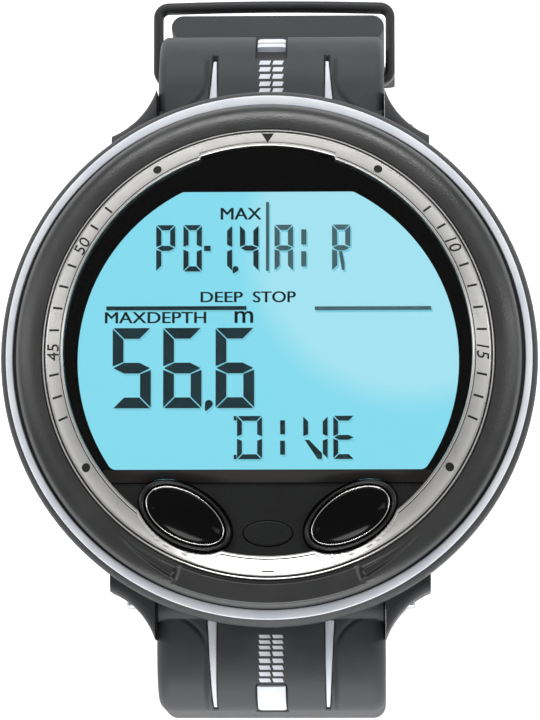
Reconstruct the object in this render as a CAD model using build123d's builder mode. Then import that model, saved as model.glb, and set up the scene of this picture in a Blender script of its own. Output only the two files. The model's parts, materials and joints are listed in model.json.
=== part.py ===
from build123d import *

import os
from math import cos, radians, sin, tan

os.makedirs("parts", exist_ok=True)

# Wrist dive computer: a round case with a glass front and two piston buttons, on a two-piece
# strap with a buckle and a keeper ring.
# Frame: millimetres, origin at the centre of the case back's flat face, +Z out through the
# glass, +Y towards twelve o'clock, +X towards three o'clock.

# ---- fits ------------------------------------------------------------------------------
running_fit = 0.05          # radial play of a pin, stem or cover that turns or slides
seat_gap = 0.10             # radial play of a fixed piece in its seat
part_gap = 0.30             # air between pieces that move past each other

# ---- case ------------------------------------------------------------------------------
case_radius = 37.5          # widest ring of the bumper
bumper_low_z = 13.5
bumper_high_z = 17.6
bezel_seat_z = 18.8
deck_under_z = 18.7
deck_top_z = 21.2
collar_top_z = 22.2
collar_radius = 31.3
cavity_radius = 28.0
flange_radius = 25.2
flange_top_z = 5.0
rim_z = 0.4
rim_radius = 31.5
bowl_z = 6.5                # height where the bowl's side is furthest from a straight cone
bowl_inset = 1.6
shoulder_round = 2.0

# ---- case back -------------------------------------------------------------------------
back_radius = 28.8
back_thickness = 2.5
back_screw_ring = 27.3
back_screw_radius = 0.6
back_screw_head_radius = 1.15
back_screw_head_height = 0.9
back_screw_count = 8
back_screw_angle = 22.5
back_screw_sunk = 0.3
screw_cross = 1.5
screw_cross_slot = 0.35
screw_cross_depth = 0.4
back_gasket_inner = 25.4
back_gasket_outer = 26.0
back_gasket_height = 0.7

# ---- front rings -----------------------------------------------------------------------
shoulder_width = 0.85       # black edge outside the white ring
accent_width_x = 0.95       # the white ring is wider at twelve and six than at its sides
accent_width_y = 1.35
accent_outer = case_radius - shoulder_width
accent_inner_x = accent_outer - accent_width_x
accent_inner_y = accent_outer - accent_width_y
accent_depth = 1.4
accent_proud = 0.9
bezel_outer = accent_inner_y - seat_gap
bezel_round = 0.75
bezel_edge_z = 19.9
bezel_crest_z = 22.5
trim_outer = 31.4
trim_inner = 28.2
trim_edge_z = 22.7
trim_crest_z = 26.0
trim_notch_radius = 28.7
trim_notch_half_angle = 19.0
trim_dot_ring = 29.6
trim_dot_radius = 0.4
trim_dot_depth = 0.2
trim_lip = 0.25
trim_dot_angles = (31.0, 122.5)
tab_half_angle = 23.0
tab_inner = 32.0
tab_outer = bezel_outer - 0.6
tab_top_z = 22.75

# ---- glass, mask and display -----------------------------------------------------------
lens_recess_radius = 28.7
lens_radius = 28.5
lens_chord = -18.0          # the glass is a disc cut off along this line
lens_thickness = 3.0
lens_bevel_width = 1.6
lens_bevel_drop = 1.0
gasket_height = 0.6
mask_height = 0.2
window_radius = 26.4
window_centre_y = -1.0
window_top = 22.6
window_bottom = -16.1
window_corner = 1.2
deck_window_radius = 26.9
deck_window_chord = -16.7
display_top_gap = 0.3
display_thickness = 2.1
backlight_thickness = 1.0
backlight_inset = 2.2
backlight_top = 20.0        # the sheet's edge towards twelve o'clock
backlight_trim = 2.6
display_top_trim = 1.4
frame_wall = 1.5
frame_roof = 0.8
frame_seat_width = 34.0
frame_seat_length = 24.0
connector_y = (-14.1, 21.2) # rows where the display meets the board
connector_length = (30.0, 16.0)
connector_width = 1.0

# ---- buttons ---------------------------------------------------------------------------
button_x = 11.35
button_y = -22.7
button_tilt = 30.0
cap_length = 6.0            # half axes of the oval cap
cap_width = 3.3
rim_wall_long = 1.1         # rim wall at the ends and at the sides of the oval
rim_wall_short = 0.9
rim_length = cap_length + rim_wall_long
rim_width = cap_width + rim_wall_short
button_clearance = 0.15
rim_top_z = 25.2
cap_top_z = 24.9
cap_thickness = 1.6
button_travel = 1.0
stem_x = 10.7
stem_y = -21.4
stem_radius = 1.0
stem_bottom_z = 14.3
stem_seal_outer = 1.85
stem_seal_height = 0.9
clip_radius = 1.9
clip_height = 0.5
spring_radius = 1.4
spring_wire = 0.2
spring_turns = 3
clip_groove = 0.25
panel_top_z = 23.6
panel_base = 0.6            # plate under the button rims
port_y = -25.0
port_length = 3.4
port_width = 1.75
port_proud = 0.25

# ---- electronics -----------------------------------------------------------------------
board_radius = 27.5
board_under_z = 10.5
board_thickness = 1.2
switch_side = 4.2
switch_height = 1.4
plunger_radius = 1.1
plunger_height = 0.1
board_notch = 2.0
chip_height = 1.1
chips = (                   # centre and sides of each part on the board's underside
    (-8.0, -10.0, 8.0, 8.0),
    (5.0, -9.0, 5.0, 4.0),
    (13.0, -14.0, 3.2, 1.6),
)
sensor_y = -15.0
sensor_radius = 4.5
sensor_height = 4.0
port_radius = 3.0
buzzer_x = 16.0
buzzer_y = -4.0
buzzer_radius = 5.5
buzzer_height = 2.6
buzzer_hole = 1.2
buzzer_gap = 0.2
sensor_seat = 0.6
port_wall = 0.7
grille_sunk = 0.3
grille_thickness = 0.8
grille_ring = 1.8
grille_hole = 0.45

# ---- battery and its cover -------------------------------------------------------------
cell_radius = 10.0
cell_height = 3.2
cell_play = 0.15
cover_thickness = 2.2
neck_radius = cell_radius + 0.2
neck_wall = 1.2
neck_top_z = 4.6
cover_radius = neck_radius + 1.0
bayonet_radius = neck_radius + 0.8
bayonet_width = 6.0
bayonet_low_z = 3.9
bayonet_turn = 50.0
boss_radius = cover_radius + 1.2
cell_y = flange_radius - boss_radius - 0.2
seal_groove_depth = 0.6
seal_groove_height = 0.9
seal_groove_offset = 0.3
spanner_hole_depth = 1.2
boss_top_z = 5.5
spanner_hole_radius = 1.0
spanner_hole_offset = 6.0
holder_wall = 1.6
holder_roof = 0.8
contact_length = 14.0
contact_width = 4.0
contact_sheet = 0.25
spring_tip_inner = 3.0      # dished ring under the cell, from its tip to its foot
spring_tip_outer = 4.0
spring_foot = neck_radius - neck_wall - 0.4

# ---- strap, lugs and pins --------------------------------------------------------------
strap_width = 32.0
strap_thickness = 3.8
half_thick = strap_thickness / 2
lug_side_gap = 0.2
pocket_half_width = strap_width / 2 + lug_side_gap
pin_y = case_radius - 3.9
pin_z = 7.0
pin_radius = 1.0
pin_grip = 4.1              # length of the pin inside each lug
pin_half_length = pocket_half_width + pin_grip
strap_barrel = half_thick + 1.1
lug_width = 6.3
lug_root_length = 8.0
lug_hollow = 0.7            # how far the lug's outer side is drawn in, as a concave arc
lug_round = 1.2
lug_tip_x = pocket_half_width + lug_width
lug_tip_y = case_radius - 5.2
lug_end_y = case_radius + 1.5
lug_low_z = 2.5
lug_high_z = 12.0
pocket_back_gap = 0.5
pocket_depth_y = pin_y - strap_barrel - pocket_back_gap
pocket_length = 12.0
pocket_top_z = 13.0
shoulder_z = 6.2
strap_bend = 7.0
upper_shoulder_y = case_radius + 9.0
buckle_y = upper_shoulder_y
buckle_z = -18.3
lower_shoulder_y = -case_radius - 9.2
lower_side_y = lower_shoulder_y - 1.8
loop_z = -48.1
loop_right_y = buckle_y + 5.0
tail_y = loop_right_y + 3.8
tail_z = -28.5
loop_bend_left = 30.0
loop_bend_right = 20.0
inlay_x = 8.4
inlay_width = 1.2
inlay_depth = 1.0
inlay_start = 0.32          # where the strips start and end, as shares of a run of the strap
upper_inlay_end = 0.32
lower_inlay_end = 0.33
slot_width = 4.4
slot_reach = 10.0           # how far a slot's cut runs across the bend
slot_offset = 3.0
slot_high_z = 3.5
upper_slot_low_z = -5.5
lower_slot_low_z = -9.5
prong_hole_width = 3.6
prong_hole_length = 2.4
prong_hole_pitch = 8.0
prong_hole_count = 6
prong_hole_first_y = -10.0

# ---- keeper and buckle -----------------------------------------------------------------
keeper_z = -10.0
keeper_wall = 1.35
keeper_depth = 3.0
keeper_side_gap = 0.35
keeper_under_gap = 0.25
keeper_tail_gap = 5.4
keeper_corner = 1.8
frame_side_gap = 0.3
frame_wall_x = 1.4
frame_bar = 1.5
frame_depth = 2.0
frame_length = 8.8
frame_above_pin = 1.6
buckle_pin_radius = 0.8
buckle_barrel = half_thick + 0.7
prong_width = 2.0
prong_length = 8.6
prong_thickness = 1.0
prong_eye = 1.5


def save(builder, name):
    """Label a finished piece and write it."""
    builder.part.label = name
    export_step(builder.part, f"parts/{name}.step")


def disc_above_chord(radius, chord):
    """A disc with the part below a straight chord left out."""
    Circle(radius)
    with Locations((0, chord - radius)):
        Rectangle(2 * radius, 2 * radius, mode=Mode.SUBTRACT)


def button_ovals(length, width, mode=Mode.ADD):
    """The pair of tilted ovals that the two buttons share as their outline."""
    for side in (-1, 1):
        with Locations((side * button_x, button_y)):
            Ellipse(length, width, rotation=side * button_tilt, mode=mode)


# ======== case ==========================================================================
with BuildPart() as lug_block:
    with BuildSketch(Plane.XY.offset(lug_low_z)):
        with BuildLine():
            flank = ThreePointArc(
                (lug_tip_x, lug_tip_y),
                ((lug_tip_x + pocket_half_width - lug_hollow) / 2,
                 (lug_tip_y + lug_end_y - lug_hollow) / 2 - lug_hollow),
                (pocket_half_width, lug_end_y),
            )
            Polyline(
                flank @ 1,
                (pocket_half_width, lug_tip_y - lug_root_length),
                (lug_tip_x, lug_tip_y - lug_root_length),
                flank @ 0,
            )
        make_face()
    extrude(amount=lug_high_z - lug_low_z)
    outer_faces = lug_block.faces().filter_by(GeomType.CYLINDER)
    fillet(outer_faces.edges().filter_by(GeomType.CIRCLE), lug_round)

with BuildPart() as case_body:
    with BuildSketch(Plane.XZ):
        with BuildLine():
            bowl = ThreePointArc((rim_radius, rim_z), (case_radius - bowl_inset, bowl_z),
                                 (case_radius, bumper_low_z))
            wall = Line(bowl @ 1, (case_radius, bumper_high_z))
            shoulder = RadiusArc(wall @ 1, (accent_outer, bezel_seat_z), -shoulder_round)
            Polyline(
                shoulder @ 1,
                (collar_radius, bezel_seat_z),
                (collar_radius, collar_top_z),
                (lens_recess_radius, collar_top_z),
                (lens_recess_radius, deck_top_z),
                (0, deck_top_z),
                (0, deck_under_z),
                (cavity_radius, deck_under_z),
                (cavity_radius, flange_top_z),
                (flange_radius, flange_top_z),
                (flange_radius, back_thickness),
                (back_radius + seat_gap, back_thickness),
                (back_radius + seat_gap, rim_z),
                bowl @ 0,
            )
        make_face()
    revolve(axis=Axis.Z)
    # lugs on both sides of each strap end
    add(lug_block.part)
    add(lug_block.part.mirror(Plane.YZ))
    add(lug_block.part.mirror(Plane.XZ))
    add(lug_block.part.mirror(Plane.YZ).mirror(Plane.XZ))
    # pockets for the strap ends
    with BuildSketch(Plane.XY.offset(rim_z - 1)):
        for side in (-1, 1):
            with Locations((0, side * (pocket_depth_y + pocket_length / 2))):
                Rectangle(2 * pocket_half_width, pocket_length)
    extrude(amount=pocket_top_z - rim_z + 1, mode=Mode.SUBTRACT)
    # strap pin holes
    with BuildSketch(Plane.YZ):
        with Locations((pin_y, pin_z), (-pin_y, pin_z)):
            Circle(pin_radius + running_fit)
    extrude(amount=lug_tip_x + 2, both=True, mode=Mode.SUBTRACT)
    # display window in the deck
    with BuildSketch(Plane.XY.offset(deck_under_z)):
        disc_above_chord(deck_window_radius, deck_window_chord)
    extrude(amount=deck_top_z - deck_under_z, mode=Mode.SUBTRACT)
    # the collar gives way to the button rims
    with BuildSketch(Plane.XY.offset(deck_top_z)):
        button_ovals(rim_length + seat_gap, rim_width + seat_gap)
    extrude(amount=collar_top_z - deck_top_z, mode=Mode.SUBTRACT)
    # stem bores with a seal seat under the deck
    with Locations(Plane.XY.offset(deck_top_z)):
        with Locations((-stem_x, stem_y), (stem_x, stem_y)):
            Hole(stem_radius + running_fit, depth=deck_top_z - deck_under_z)
    with BuildSketch(Plane.XY.offset(deck_under_z)):
        with Locations((-stem_x, stem_y), (stem_x, stem_y)):
            Circle(stem_seal_outer)
    extrude(amount=stem_seal_height, mode=Mode.SUBTRACT)
    # groove for the white ring
    with BuildSketch(Plane.XY.offset(bezel_seat_z)):
        Circle(accent_outer)
        Ellipse(accent_inner_x, accent_inner_y, mode=Mode.SUBTRACT)
    extrude(amount=-accent_depth, mode=Mode.SUBTRACT)
    # groove for the back gasket and threaded holes for the back screws
    with BuildSketch(Plane.XY.offset(back_thickness)):
        Circle(back_gasket_outer)
        Circle(back_gasket_inner, mode=Mode.SUBTRACT)
    extrude(amount=back_gasket_height, mode=Mode.SUBTRACT)
    with BuildSketch(Plane.XY.offset(back_thickness)):
        with PolarLocations(back_screw_ring, back_screw_count, start_angle=back_screw_angle):
            Circle(back_screw_radius)
    extrude(amount=flange_top_z - back_thickness - 0.4, mode=Mode.SUBTRACT)
save(case_body, "case_body")

with BuildPart() as accent_ring:
    with BuildSketch(Plane.XY.offset(bezel_seat_z - accent_depth)):
        Circle(accent_outer)
        Ellipse(accent_inner_x, accent_inner_y, mode=Mode.SUBTRACT)
    extrude(amount=accent_depth + accent_proud)
    chamfer(accent_ring.edges().group_by(Axis.Z)[-1], 0.2)
save(accent_ring, "accent_ring")

# ======== front =========================================================================
with BuildPart() as bezel_ring:
    with BuildSketch(Plane.XZ):
        with BuildLine():
            crown = ThreePointArc(
                (bezel_outer, bezel_edge_z),
                (bezel_outer - 1.0, bezel_crest_z - bezel_round),
                (trim_outer + seat_gap, bezel_crest_z),
            )
            Polyline(
                crown @ 1,
                (trim_outer + seat_gap, bezel_seat_z),
                (bezel_outer, bezel_seat_z),
                crown @ 0,
            )
        make_face()
    revolve(axis=Axis.Z)
    # raised tab at six o'clock
    with BuildSketch(Plane.XY.offset(bezel_edge_z)):
        with BuildLine():
            CenterArc((0, 0), tab_outer, 270 - tab_half_angle, 2 * tab_half_angle)
            CenterArc((0, 0), tab_inner, 270 - tab_half_angle, 2 * tab_half_angle)
            for end in (-tab_half_angle, tab_half_angle):
                turn = radians(270 + end)
                Line(
                    (tab_inner * cos(turn), tab_inner * sin(turn)),
                    (tab_outer * cos(turn), tab_outer * sin(turn)),
                )
        make_face()
    extrude(amount=tab_top_z - bezel_edge_z)
save(bezel_ring, "bezel_ring")

mask_z = deck_top_z + gasket_height
lens_z = mask_z + mask_height
lens_top_z = lens_z + lens_thickness
trim_slope = (trim_crest_z - trim_edge_z) / (trim_outer - trim_inner)

with BuildPart() as trim_ring:
    with BuildSketch(Plane.XZ):
        with BuildLine():
            face = ThreePointArc(
                (trim_outer, trim_edge_z),
                ((trim_outer + trim_inner) / 2, (trim_edge_z + trim_crest_z) / 2 + trim_lip),
                (trim_inner + trim_lip, trim_crest_z),
            )
            Polyline(
                face @ 1,
                (trim_inner, trim_crest_z - trim_lip),
                (trim_inner, lens_top_z + seat_gap),
                (lens_recess_radius, lens_top_z + seat_gap),
                (lens_recess_radius, collar_top_z),
                (trim_outer, collar_top_z),
                face @ 0,
            )
        make_face()
    revolve(axis=Axis.Z)
    # the lip is set back across the top of the dial
    notch_x = 2 * trim_notch_radius * tan(radians(trim_notch_half_angle))
    with BuildSketch(Plane.XY.offset(collar_top_z)):
        Circle(trim_notch_radius)
        with BuildLine():
            Polyline((0, 0), (-notch_x, 2 * trim_notch_radius),
                     (notch_x, 2 * trim_notch_radius), close=True)
        make_face(mode=Mode.INTERSECT)
    extrude(amount=trim_crest_z - collar_top_z + 1, mode=Mode.SUBTRACT)
    # marker dots drilled in the face
    dot_z = trim_edge_z + (trim_outer - trim_dot_ring) * trim_slope
    with BuildSketch(Plane.XY.offset(dot_z - trim_dot_depth)):
        for angle in trim_dot_angles:
            for side in (-1, 1):
                turn = radians(90 + side * angle)
                with Locations((trim_dot_ring * cos(turn), trim_dot_ring * sin(turn))):
                    Circle(trim_dot_radius)
    extrude(amount=trim_crest_z - dot_z, mode=Mode.SUBTRACT)
    with BuildSketch(Plane.XY.offset(collar_top_z)):
        button_ovals(rim_length + seat_gap, rim_width + seat_gap)
    extrude(amount=trim_crest_z - collar_top_z + 1, mode=Mode.SUBTRACT)
save(trim_ring, "trim_ring")

with BuildPart() as lens_gasket:
    with BuildSketch(Plane.XY.offset(deck_top_z)):
        disc_above_chord(lens_radius, lens_chord)
        with BuildSketch(mode=Mode.PRIVATE) as inside:
            disc_above_chord(deck_window_radius + seat_gap, deck_window_chord - seat_gap)
        add(inside.sketch, mode=Mode.SUBTRACT)
        button_ovals(rim_length + seat_gap, rim_width + seat_gap, mode=Mode.SUBTRACT)
    extrude(amount=gasket_height)
save(lens_gasket, "lens_gasket")

with BuildPart() as display_mask:
    with BuildSketch(Plane.XY.offset(mask_z)):
        disc_above_chord(lens_radius, lens_chord)
        with BuildSketch(mode=Mode.PRIVATE) as window:
            with Locations((0, window_centre_y)):
                Circle(window_radius)
            with Locations((0, (window_top + window_bottom) / 2)):
                Rectangle(3 * window_radius, window_top - window_bottom, mode=Mode.INTERSECT)
            fillet(window.vertices(), window_corner)
        add(window.sketch, mode=Mode.SUBTRACT)
        button_ovals(rim_length + seat_gap, rim_width + seat_gap, mode=Mode.SUBTRACT)
    extrude(amount=mask_height)
save(display_mask, "display_mask")

with BuildPart() as lens:
    with BuildSketch(Plane.XY.offset(lens_z)):
        disc_above_chord(lens_radius, lens_chord)
    extrude(amount=lens_thickness)
    front_edge = lens.edges().group_by(Axis.Z)[-1].filter_by(GeomType.LINE)
    chamfer(front_edge, lens_bevel_drop, lens_bevel_width,
            reference=lens.faces().sort_by(Axis.Y)[0])
    with BuildSketch(Plane.XY.offset(lens_z)):
        button_ovals(rim_length + seat_gap, rim_width + seat_gap)
    extrude(amount=lens_thickness, mode=Mode.SUBTRACT)
save(lens, "lens")

with BuildPart() as button_panel:
    with BuildSketch(Plane.XY.offset(deck_top_z)):
        Circle(lens_recess_radius - seat_gap)
        with Locations((0, lens_chord - seat_gap + lens_radius)):
            Rectangle(2 * lens_recess_radius, 2 * lens_radius, mode=Mode.SUBTRACT)
        with Locations((0, port_y)):
            Ellipse(port_length + seat_gap, port_width + seat_gap, mode=Mode.SUBTRACT)
    extrude(amount=panel_top_z - deck_top_z)
    with BuildSketch(Plane.XY.offset(deck_top_z + panel_base)):
        button_ovals(rim_length + seat_gap, rim_width + seat_gap)
    extrude(amount=panel_top_z - deck_top_z, mode=Mode.SUBTRACT)
    with BuildSketch(Plane.XY.offset(deck_top_z)):
        with Locations((-stem_x, stem_y), (stem_x, stem_y)):
            Circle(spring_radius + spring_wire + seat_gap)
    extrude(amount=panel_base, mode=Mode.SUBTRACT)
save(button_panel, "button_panel")

with BuildPart() as interface_window:
    with BuildSketch(Plane.XY.offset(deck_top_z)):
        with Locations((0, port_y)):
            Ellipse(port_length, port_width)
    extrude(amount=panel_top_z - deck_top_z + port_proud)
    fillet(interface_window.edges().group_by(Axis.Z)[-1], 0.8 * port_proud)
save(interface_window, "interface_window")

# ======== buttons =======================================================================
cap_low_z = cap_top_z - cap_thickness
clip_top_z = deck_under_z - 0.1

for side, hand in ((-1, "left"), (1, "right")):
    with BuildPart() as rim:
        with BuildSketch(Plane.XY.offset(deck_top_z + panel_base)):
            with Locations((side * button_x, button_y)):
                Ellipse(rim_length, rim_width, rotation=side * button_tilt)
                Ellipse(cap_length + button_clearance, cap_width + button_clearance,
                        rotation=side * button_tilt, mode=Mode.SUBTRACT)
        extrude(amount=rim_top_z - deck_top_z - panel_base)
        fillet(rim.edges().group_by(Axis.Z)[-1], 0.3)
    save(rim, f"{hand}_button_rim")

    with BuildPart() as cap:
        with BuildSketch(Plane.XY.offset(cap_low_z)):
            with Locations((side * button_x, button_y)):
                Ellipse(cap_length, cap_width, rotation=side * button_tilt)
        extrude(amount=cap_thickness)
        fillet(cap.edges().group_by(Axis.Z)[-1], 0.45)
    save(cap, f"{hand}_button_cap")

    with BuildPart() as stem:
        with BuildSketch(Plane.XY.offset(stem_bottom_z)):
            with Locations((side * stem_x, stem_y)):
                Circle(stem_radius)
        extrude(amount=cap_low_z - stem_bottom_z)
        # groove that the clip snaps into
        with BuildSketch(Plane.XY.offset(clip_top_z - clip_height)):
            with Locations((side * stem_x, stem_y)):
                Circle(stem_radius)
                Circle(stem_radius - clip_groove, mode=Mode.SUBTRACT)
        extrude(amount=clip_height, mode=Mode.SUBTRACT)
    save(stem, f"{hand}_button_stem")

    with BuildPart() as clip:
        with BuildSketch(Plane.XY.offset(clip_top_z - clip_height)):
            with Locations((side * stem_x, stem_y)):
                Circle(clip_radius)
                Circle(stem_radius - clip_groove, mode=Mode.SUBTRACT)
            with Locations((side * stem_x, stem_y - clip_radius)):
                Rectangle(1.1, 2 * clip_radius, mode=Mode.SUBTRACT)
        extrude(amount=clip_height)
    save(clip, f"{hand}_button_clip")

    with BuildPart() as stem_seal:
        with BuildSketch(Plane.XY.offset(deck_under_z)):
            with Locations((side * stem_x, stem_y)):
                Circle(stem_seal_outer)
                Circle(stem_radius + running_fit, mode=Mode.SUBTRACT)
        extrude(amount=stem_seal_height)
    save(stem_seal, f"{hand}_button_oring")

    spring_height = cap_low_z - deck_top_z - 2 * spring_wire - 0.1
    spring_base = (side * stem_x, stem_y, deck_top_z + spring_wire + 0.05)
    with BuildPart() as spring:
        with BuildLine():
            coil = Helix(spring_height / spring_turns, spring_height, spring_radius,
                         center=spring_base)
        with BuildSketch(Plane(coil @ 0, z_dir=coil % 0)):
            Circle(spring_wire)
        sweep(is_frenet=True)
    save(spring, f"{hand}_button_spring")

    with BuildPart() as switch:
        with BuildSketch(Plane.XY.offset(board_under_z + board_thickness)):
            with Locations((side * stem_x, stem_y)):
                Rectangle(switch_side, switch_side)
        extrude(amount=switch_height)
        with BuildSketch(Plane.XY.offset(board_under_z + board_thickness + switch_height)):
            with Locations((side * stem_x, stem_y)):
                Circle(plunger_radius)
        extrude(amount=plunger_height)
        chamfer(switch.edges().filter_by(Axis.Z), 0.3)
    save(switch, f"{hand}_switch")

# ======== display stack and board =======================================================
display_top_z = mask_z - display_top_gap
display_z = display_top_z - display_thickness
backlight_z = display_z - backlight_thickness
board_top_z = board_under_z + board_thickness

with BuildPart() as lcd_glass:
    with BuildSketch(Plane.XY.offset(display_z)):
        disc_above_chord(deck_window_radius - 0.2, deck_window_chord + 0.15)
        with Locations((0, window_top + display_top_trim + window_radius)):
            Rectangle(3 * window_radius, 2 * window_radius, mode=Mode.SUBTRACT)
    extrude(amount=display_thickness)
save(lcd_glass, "lcd_glass")

backlight_bottom = window_bottom + backlight_trim
with BuildPart() as backlight_panel:
    with BuildSketch(Plane.XY.offset(backlight_z)):
        Circle(deck_window_radius - backlight_inset)
        with Locations((0, (backlight_top + backlight_bottom) / 2)):
            Rectangle(3 * window_radius, backlight_top - backlight_bottom, mode=Mode.INTERSECT)
    extrude(amount=backlight_thickness)
save(backlight_panel, "backlight_panel")

frame_radius = cavity_radius - 1.2
frame_chord = deck_window_chord - 0.2
frame_top_z = backlight_z - 0.05
with BuildPart() as lcd_frame:
    with BuildSketch(Plane.XY.offset(board_top_z + 0.05)):
        disc_above_chord(frame_radius, frame_chord)
        with BuildSketch(mode=Mode.PRIVATE) as hollow:
            disc_above_chord(frame_radius - frame_wall, frame_chord + frame_wall)
        add(hollow.sketch, mode=Mode.SUBTRACT)
    extrude(amount=frame_top_z - board_top_z - 0.05)
    with BuildSketch(Plane.XY.offset(frame_top_z - frame_roof)):
        disc_above_chord(frame_radius, frame_chord)
        Rectangle(frame_seat_width, frame_seat_length, mode=Mode.SUBTRACT)
        with Locations((0, connector_y[0])):
            Rectangle(connector_length[0] + 1.0, 2 * connector_width, mode=Mode.SUBTRACT)
    extrude(amount=frame_roof)
save(lcd_frame, "lcd_frame")

with BuildPart() as elastomer_strips:
    with BuildSketch(Plane.XY.offset(board_top_z)):
        with Locations((0, connector_y[0])):
            Rectangle(connector_length[0], connector_width)
    extrude(amount=display_z - board_top_z)
    with BuildSketch(Plane.XY.offset(board_top_z)):
        with Locations((0, connector_y[1])):
            Rectangle(connector_length[1], connector_width)
    extrude(amount=frame_top_z - frame_roof - board_top_z)
save(elastomer_strips, "elastomer_strips")

with BuildPart() as main_board:
    with BuildSketch(Plane.XY.offset(board_under_z)):
        Circle(board_radius)
        with Locations((0, board_radius), (-board_radius, 0), (board_radius, 0)):
            Circle(board_notch, mode=Mode.SUBTRACT)
    extrude(amount=board_thickness)
save(main_board, "main_board")

with BuildPart() as board_components:
    with BuildSketch(Plane.XY.offset(board_under_z)):
        for x, y, width, length in chips:
            with Locations((x, y)):
                Rectangle(width, length)
        with GridLocations(2.4, 0, 4, 1):
            with Locations((-2.0, -19.0)):
                Rectangle(1.2, 2.0)
    extrude(amount=-chip_height)
save(board_components, "board_components")

with BuildPart() as buzzer:
    with BuildSketch(Plane.XY.offset(board_under_z - buzzer_gap)):
        with Locations((buzzer_x, buzzer_y)):
            Circle(buzzer_radius)
    extrude(amount=-buzzer_height)
    with BuildSketch(Plane.XY.offset(board_under_z - buzzer_gap - buzzer_height)):
        with Locations((buzzer_x, buzzer_y)):
            Circle(buzzer_hole)
    extrude(amount=1.0, mode=Mode.SUBTRACT)
save(buzzer, "buzzer")

# ======== back ==========================================================================
with BuildPart() as case_back:
    with BuildSketch():
        Circle(back_radius)
    extrude(amount=back_thickness)
    chamfer(case_back.edges().group_by(Axis.Z)[0], 0.4)
    with BuildSketch(Plane.XY.offset(back_thickness)):
        with Locations((0, cell_y)):
            Circle(boss_radius)
    extrude(amount=boss_top_z - back_thickness)
    # stepped bore for the battery cover
    with BuildSketch():
        with Locations((0, cell_y)):
            Circle(cover_radius + running_fit)
    extrude(amount=cover_thickness, mode=Mode.SUBTRACT)
    with BuildSketch():
        with Locations((0, cell_y)):
            Circle(neck_radius + running_fit)
    extrude(amount=boss_top_z, mode=Mode.SUBTRACT)
    # chamber that the bayonet lugs turn in, and the two ways into it
    with BuildSketch(Plane.XY.offset(bayonet_low_z - running_fit)):
        with Locations((0, cell_y)):
            Circle(bayonet_radius + running_fit)
    extrude(amount=neck_top_z - bayonet_low_z + 2 * running_fit, mode=Mode.SUBTRACT)
    with BuildSketch(Plane.XY.offset(cover_thickness)):
        with Locations((0, cell_y)):
            Rectangle(2 * bayonet_radius + 0.2, bayonet_width + 0.4, rotation=bayonet_turn)
        with Locations((0, cell_y)):
            Circle(bayonet_radius + running_fit, mode=Mode.INTERSECT)
    extrude(amount=bayonet_low_z - cover_thickness, mode=Mode.SUBTRACT)
    # water port of the pressure sensor
    with BuildSketch():
        with Locations((0, sensor_y)):
            Circle(port_radius)
    extrude(amount=back_thickness, mode=Mode.SUBTRACT)
    # countersunk seats of the back screws
    with BuildSketch():
        with PolarLocations(back_screw_ring, back_screw_count, start_angle=back_screw_angle):
            Circle(back_screw_head_radius + running_fit)
    extrude(amount=back_screw_head_height + back_screw_sunk, mode=Mode.SUBTRACT)
    with BuildSketch():
        with PolarLocations(back_screw_ring, back_screw_count, start_angle=back_screw_angle):
            Circle(back_screw_radius + running_fit)
    extrude(amount=back_thickness, mode=Mode.SUBTRACT)
save(case_back, "case_back")

with BuildPart() as case_back_gasket:
    with BuildSketch(Plane.XY.offset(back_thickness)):
        Circle(back_gasket_outer)
        Circle(back_gasket_inner, mode=Mode.SUBTRACT)
    extrude(amount=back_gasket_height)
save(case_back_gasket, "case_back_gasket")

with BuildPart() as case_back_screws:
    with BuildSketch(Plane.XY.offset(back_screw_sunk)):
        with PolarLocations(back_screw_ring, back_screw_count, start_angle=back_screw_angle):
            Circle(back_screw_head_radius)
    extrude(amount=back_screw_head_height)
    with BuildSketch(Plane.XY.offset(back_screw_sunk + back_screw_head_height)):
        with PolarLocations(back_screw_ring, back_screw_count, start_angle=back_screw_angle):
            Circle(back_screw_radius)
    extrude(amount=flange_top_z - 0.6 - back_screw_sunk - back_screw_head_height)
    with BuildSketch(Plane.XY.offset(back_screw_sunk)):
        with PolarLocations(back_screw_ring, back_screw_count, start_angle=back_screw_angle):
            Rectangle(screw_cross, screw_cross_slot)
            Rectangle(screw_cross_slot, screw_cross)
    extrude(amount=screw_cross_depth, mode=Mode.SUBTRACT)
save(case_back_screws, "case_back_screws")

with BuildPart() as battery_cover:
    with BuildSketch():
        with Locations((0, cell_y)):
            Circle(cover_radius)
    extrude(amount=cover_thickness)
    with BuildSketch(Plane.XY.offset(cover_thickness)):
        with Locations((0, cell_y)):
            Circle(neck_radius)
            Circle(neck_radius - neck_wall, mode=Mode.SUBTRACT)
    extrude(amount=neck_top_z - cover_thickness)
    with BuildSketch(Plane.XY.offset(bayonet_low_z)):
        with Locations((0, cell_y)):
            Rectangle(2 * bayonet_radius, bayonet_width)
            Circle(bayonet_radius, mode=Mode.INTERSECT)
            Circle(neck_radius - neck_wall, mode=Mode.SUBTRACT)
    extrude(amount=neck_top_z - bayonet_low_z)
    # seal groove in the neck
    with BuildSketch(Plane.XY.offset(cover_thickness + seal_groove_offset)):
        with Locations((0, cell_y)):
            Circle(neck_radius)
            Circle(neck_radius - seal_groove_depth, mode=Mode.SUBTRACT)
    extrude(amount=seal_groove_height, mode=Mode.SUBTRACT)
    # two blind holes for a pin spanner
    with BuildSketch():
        with Locations((-spanner_hole_offset, cell_y), (spanner_hole_offset, cell_y)):
            Circle(spanner_hole_radius)
    extrude(amount=spanner_hole_depth, mode=Mode.SUBTRACT)
save(battery_cover, "battery_cover")

with BuildPart() as battery_cover_oring:
    with BuildSketch(Plane.XY.offset(cover_thickness + seal_groove_offset)):
        with Locations((0, cell_y)):
            Circle(neck_radius + running_fit / 2)
            Circle(neck_radius - seal_groove_depth, mode=Mode.SUBTRACT)
    extrude(amount=seal_groove_height)
save(battery_cover_oring, "battery_cover_oring")

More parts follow.
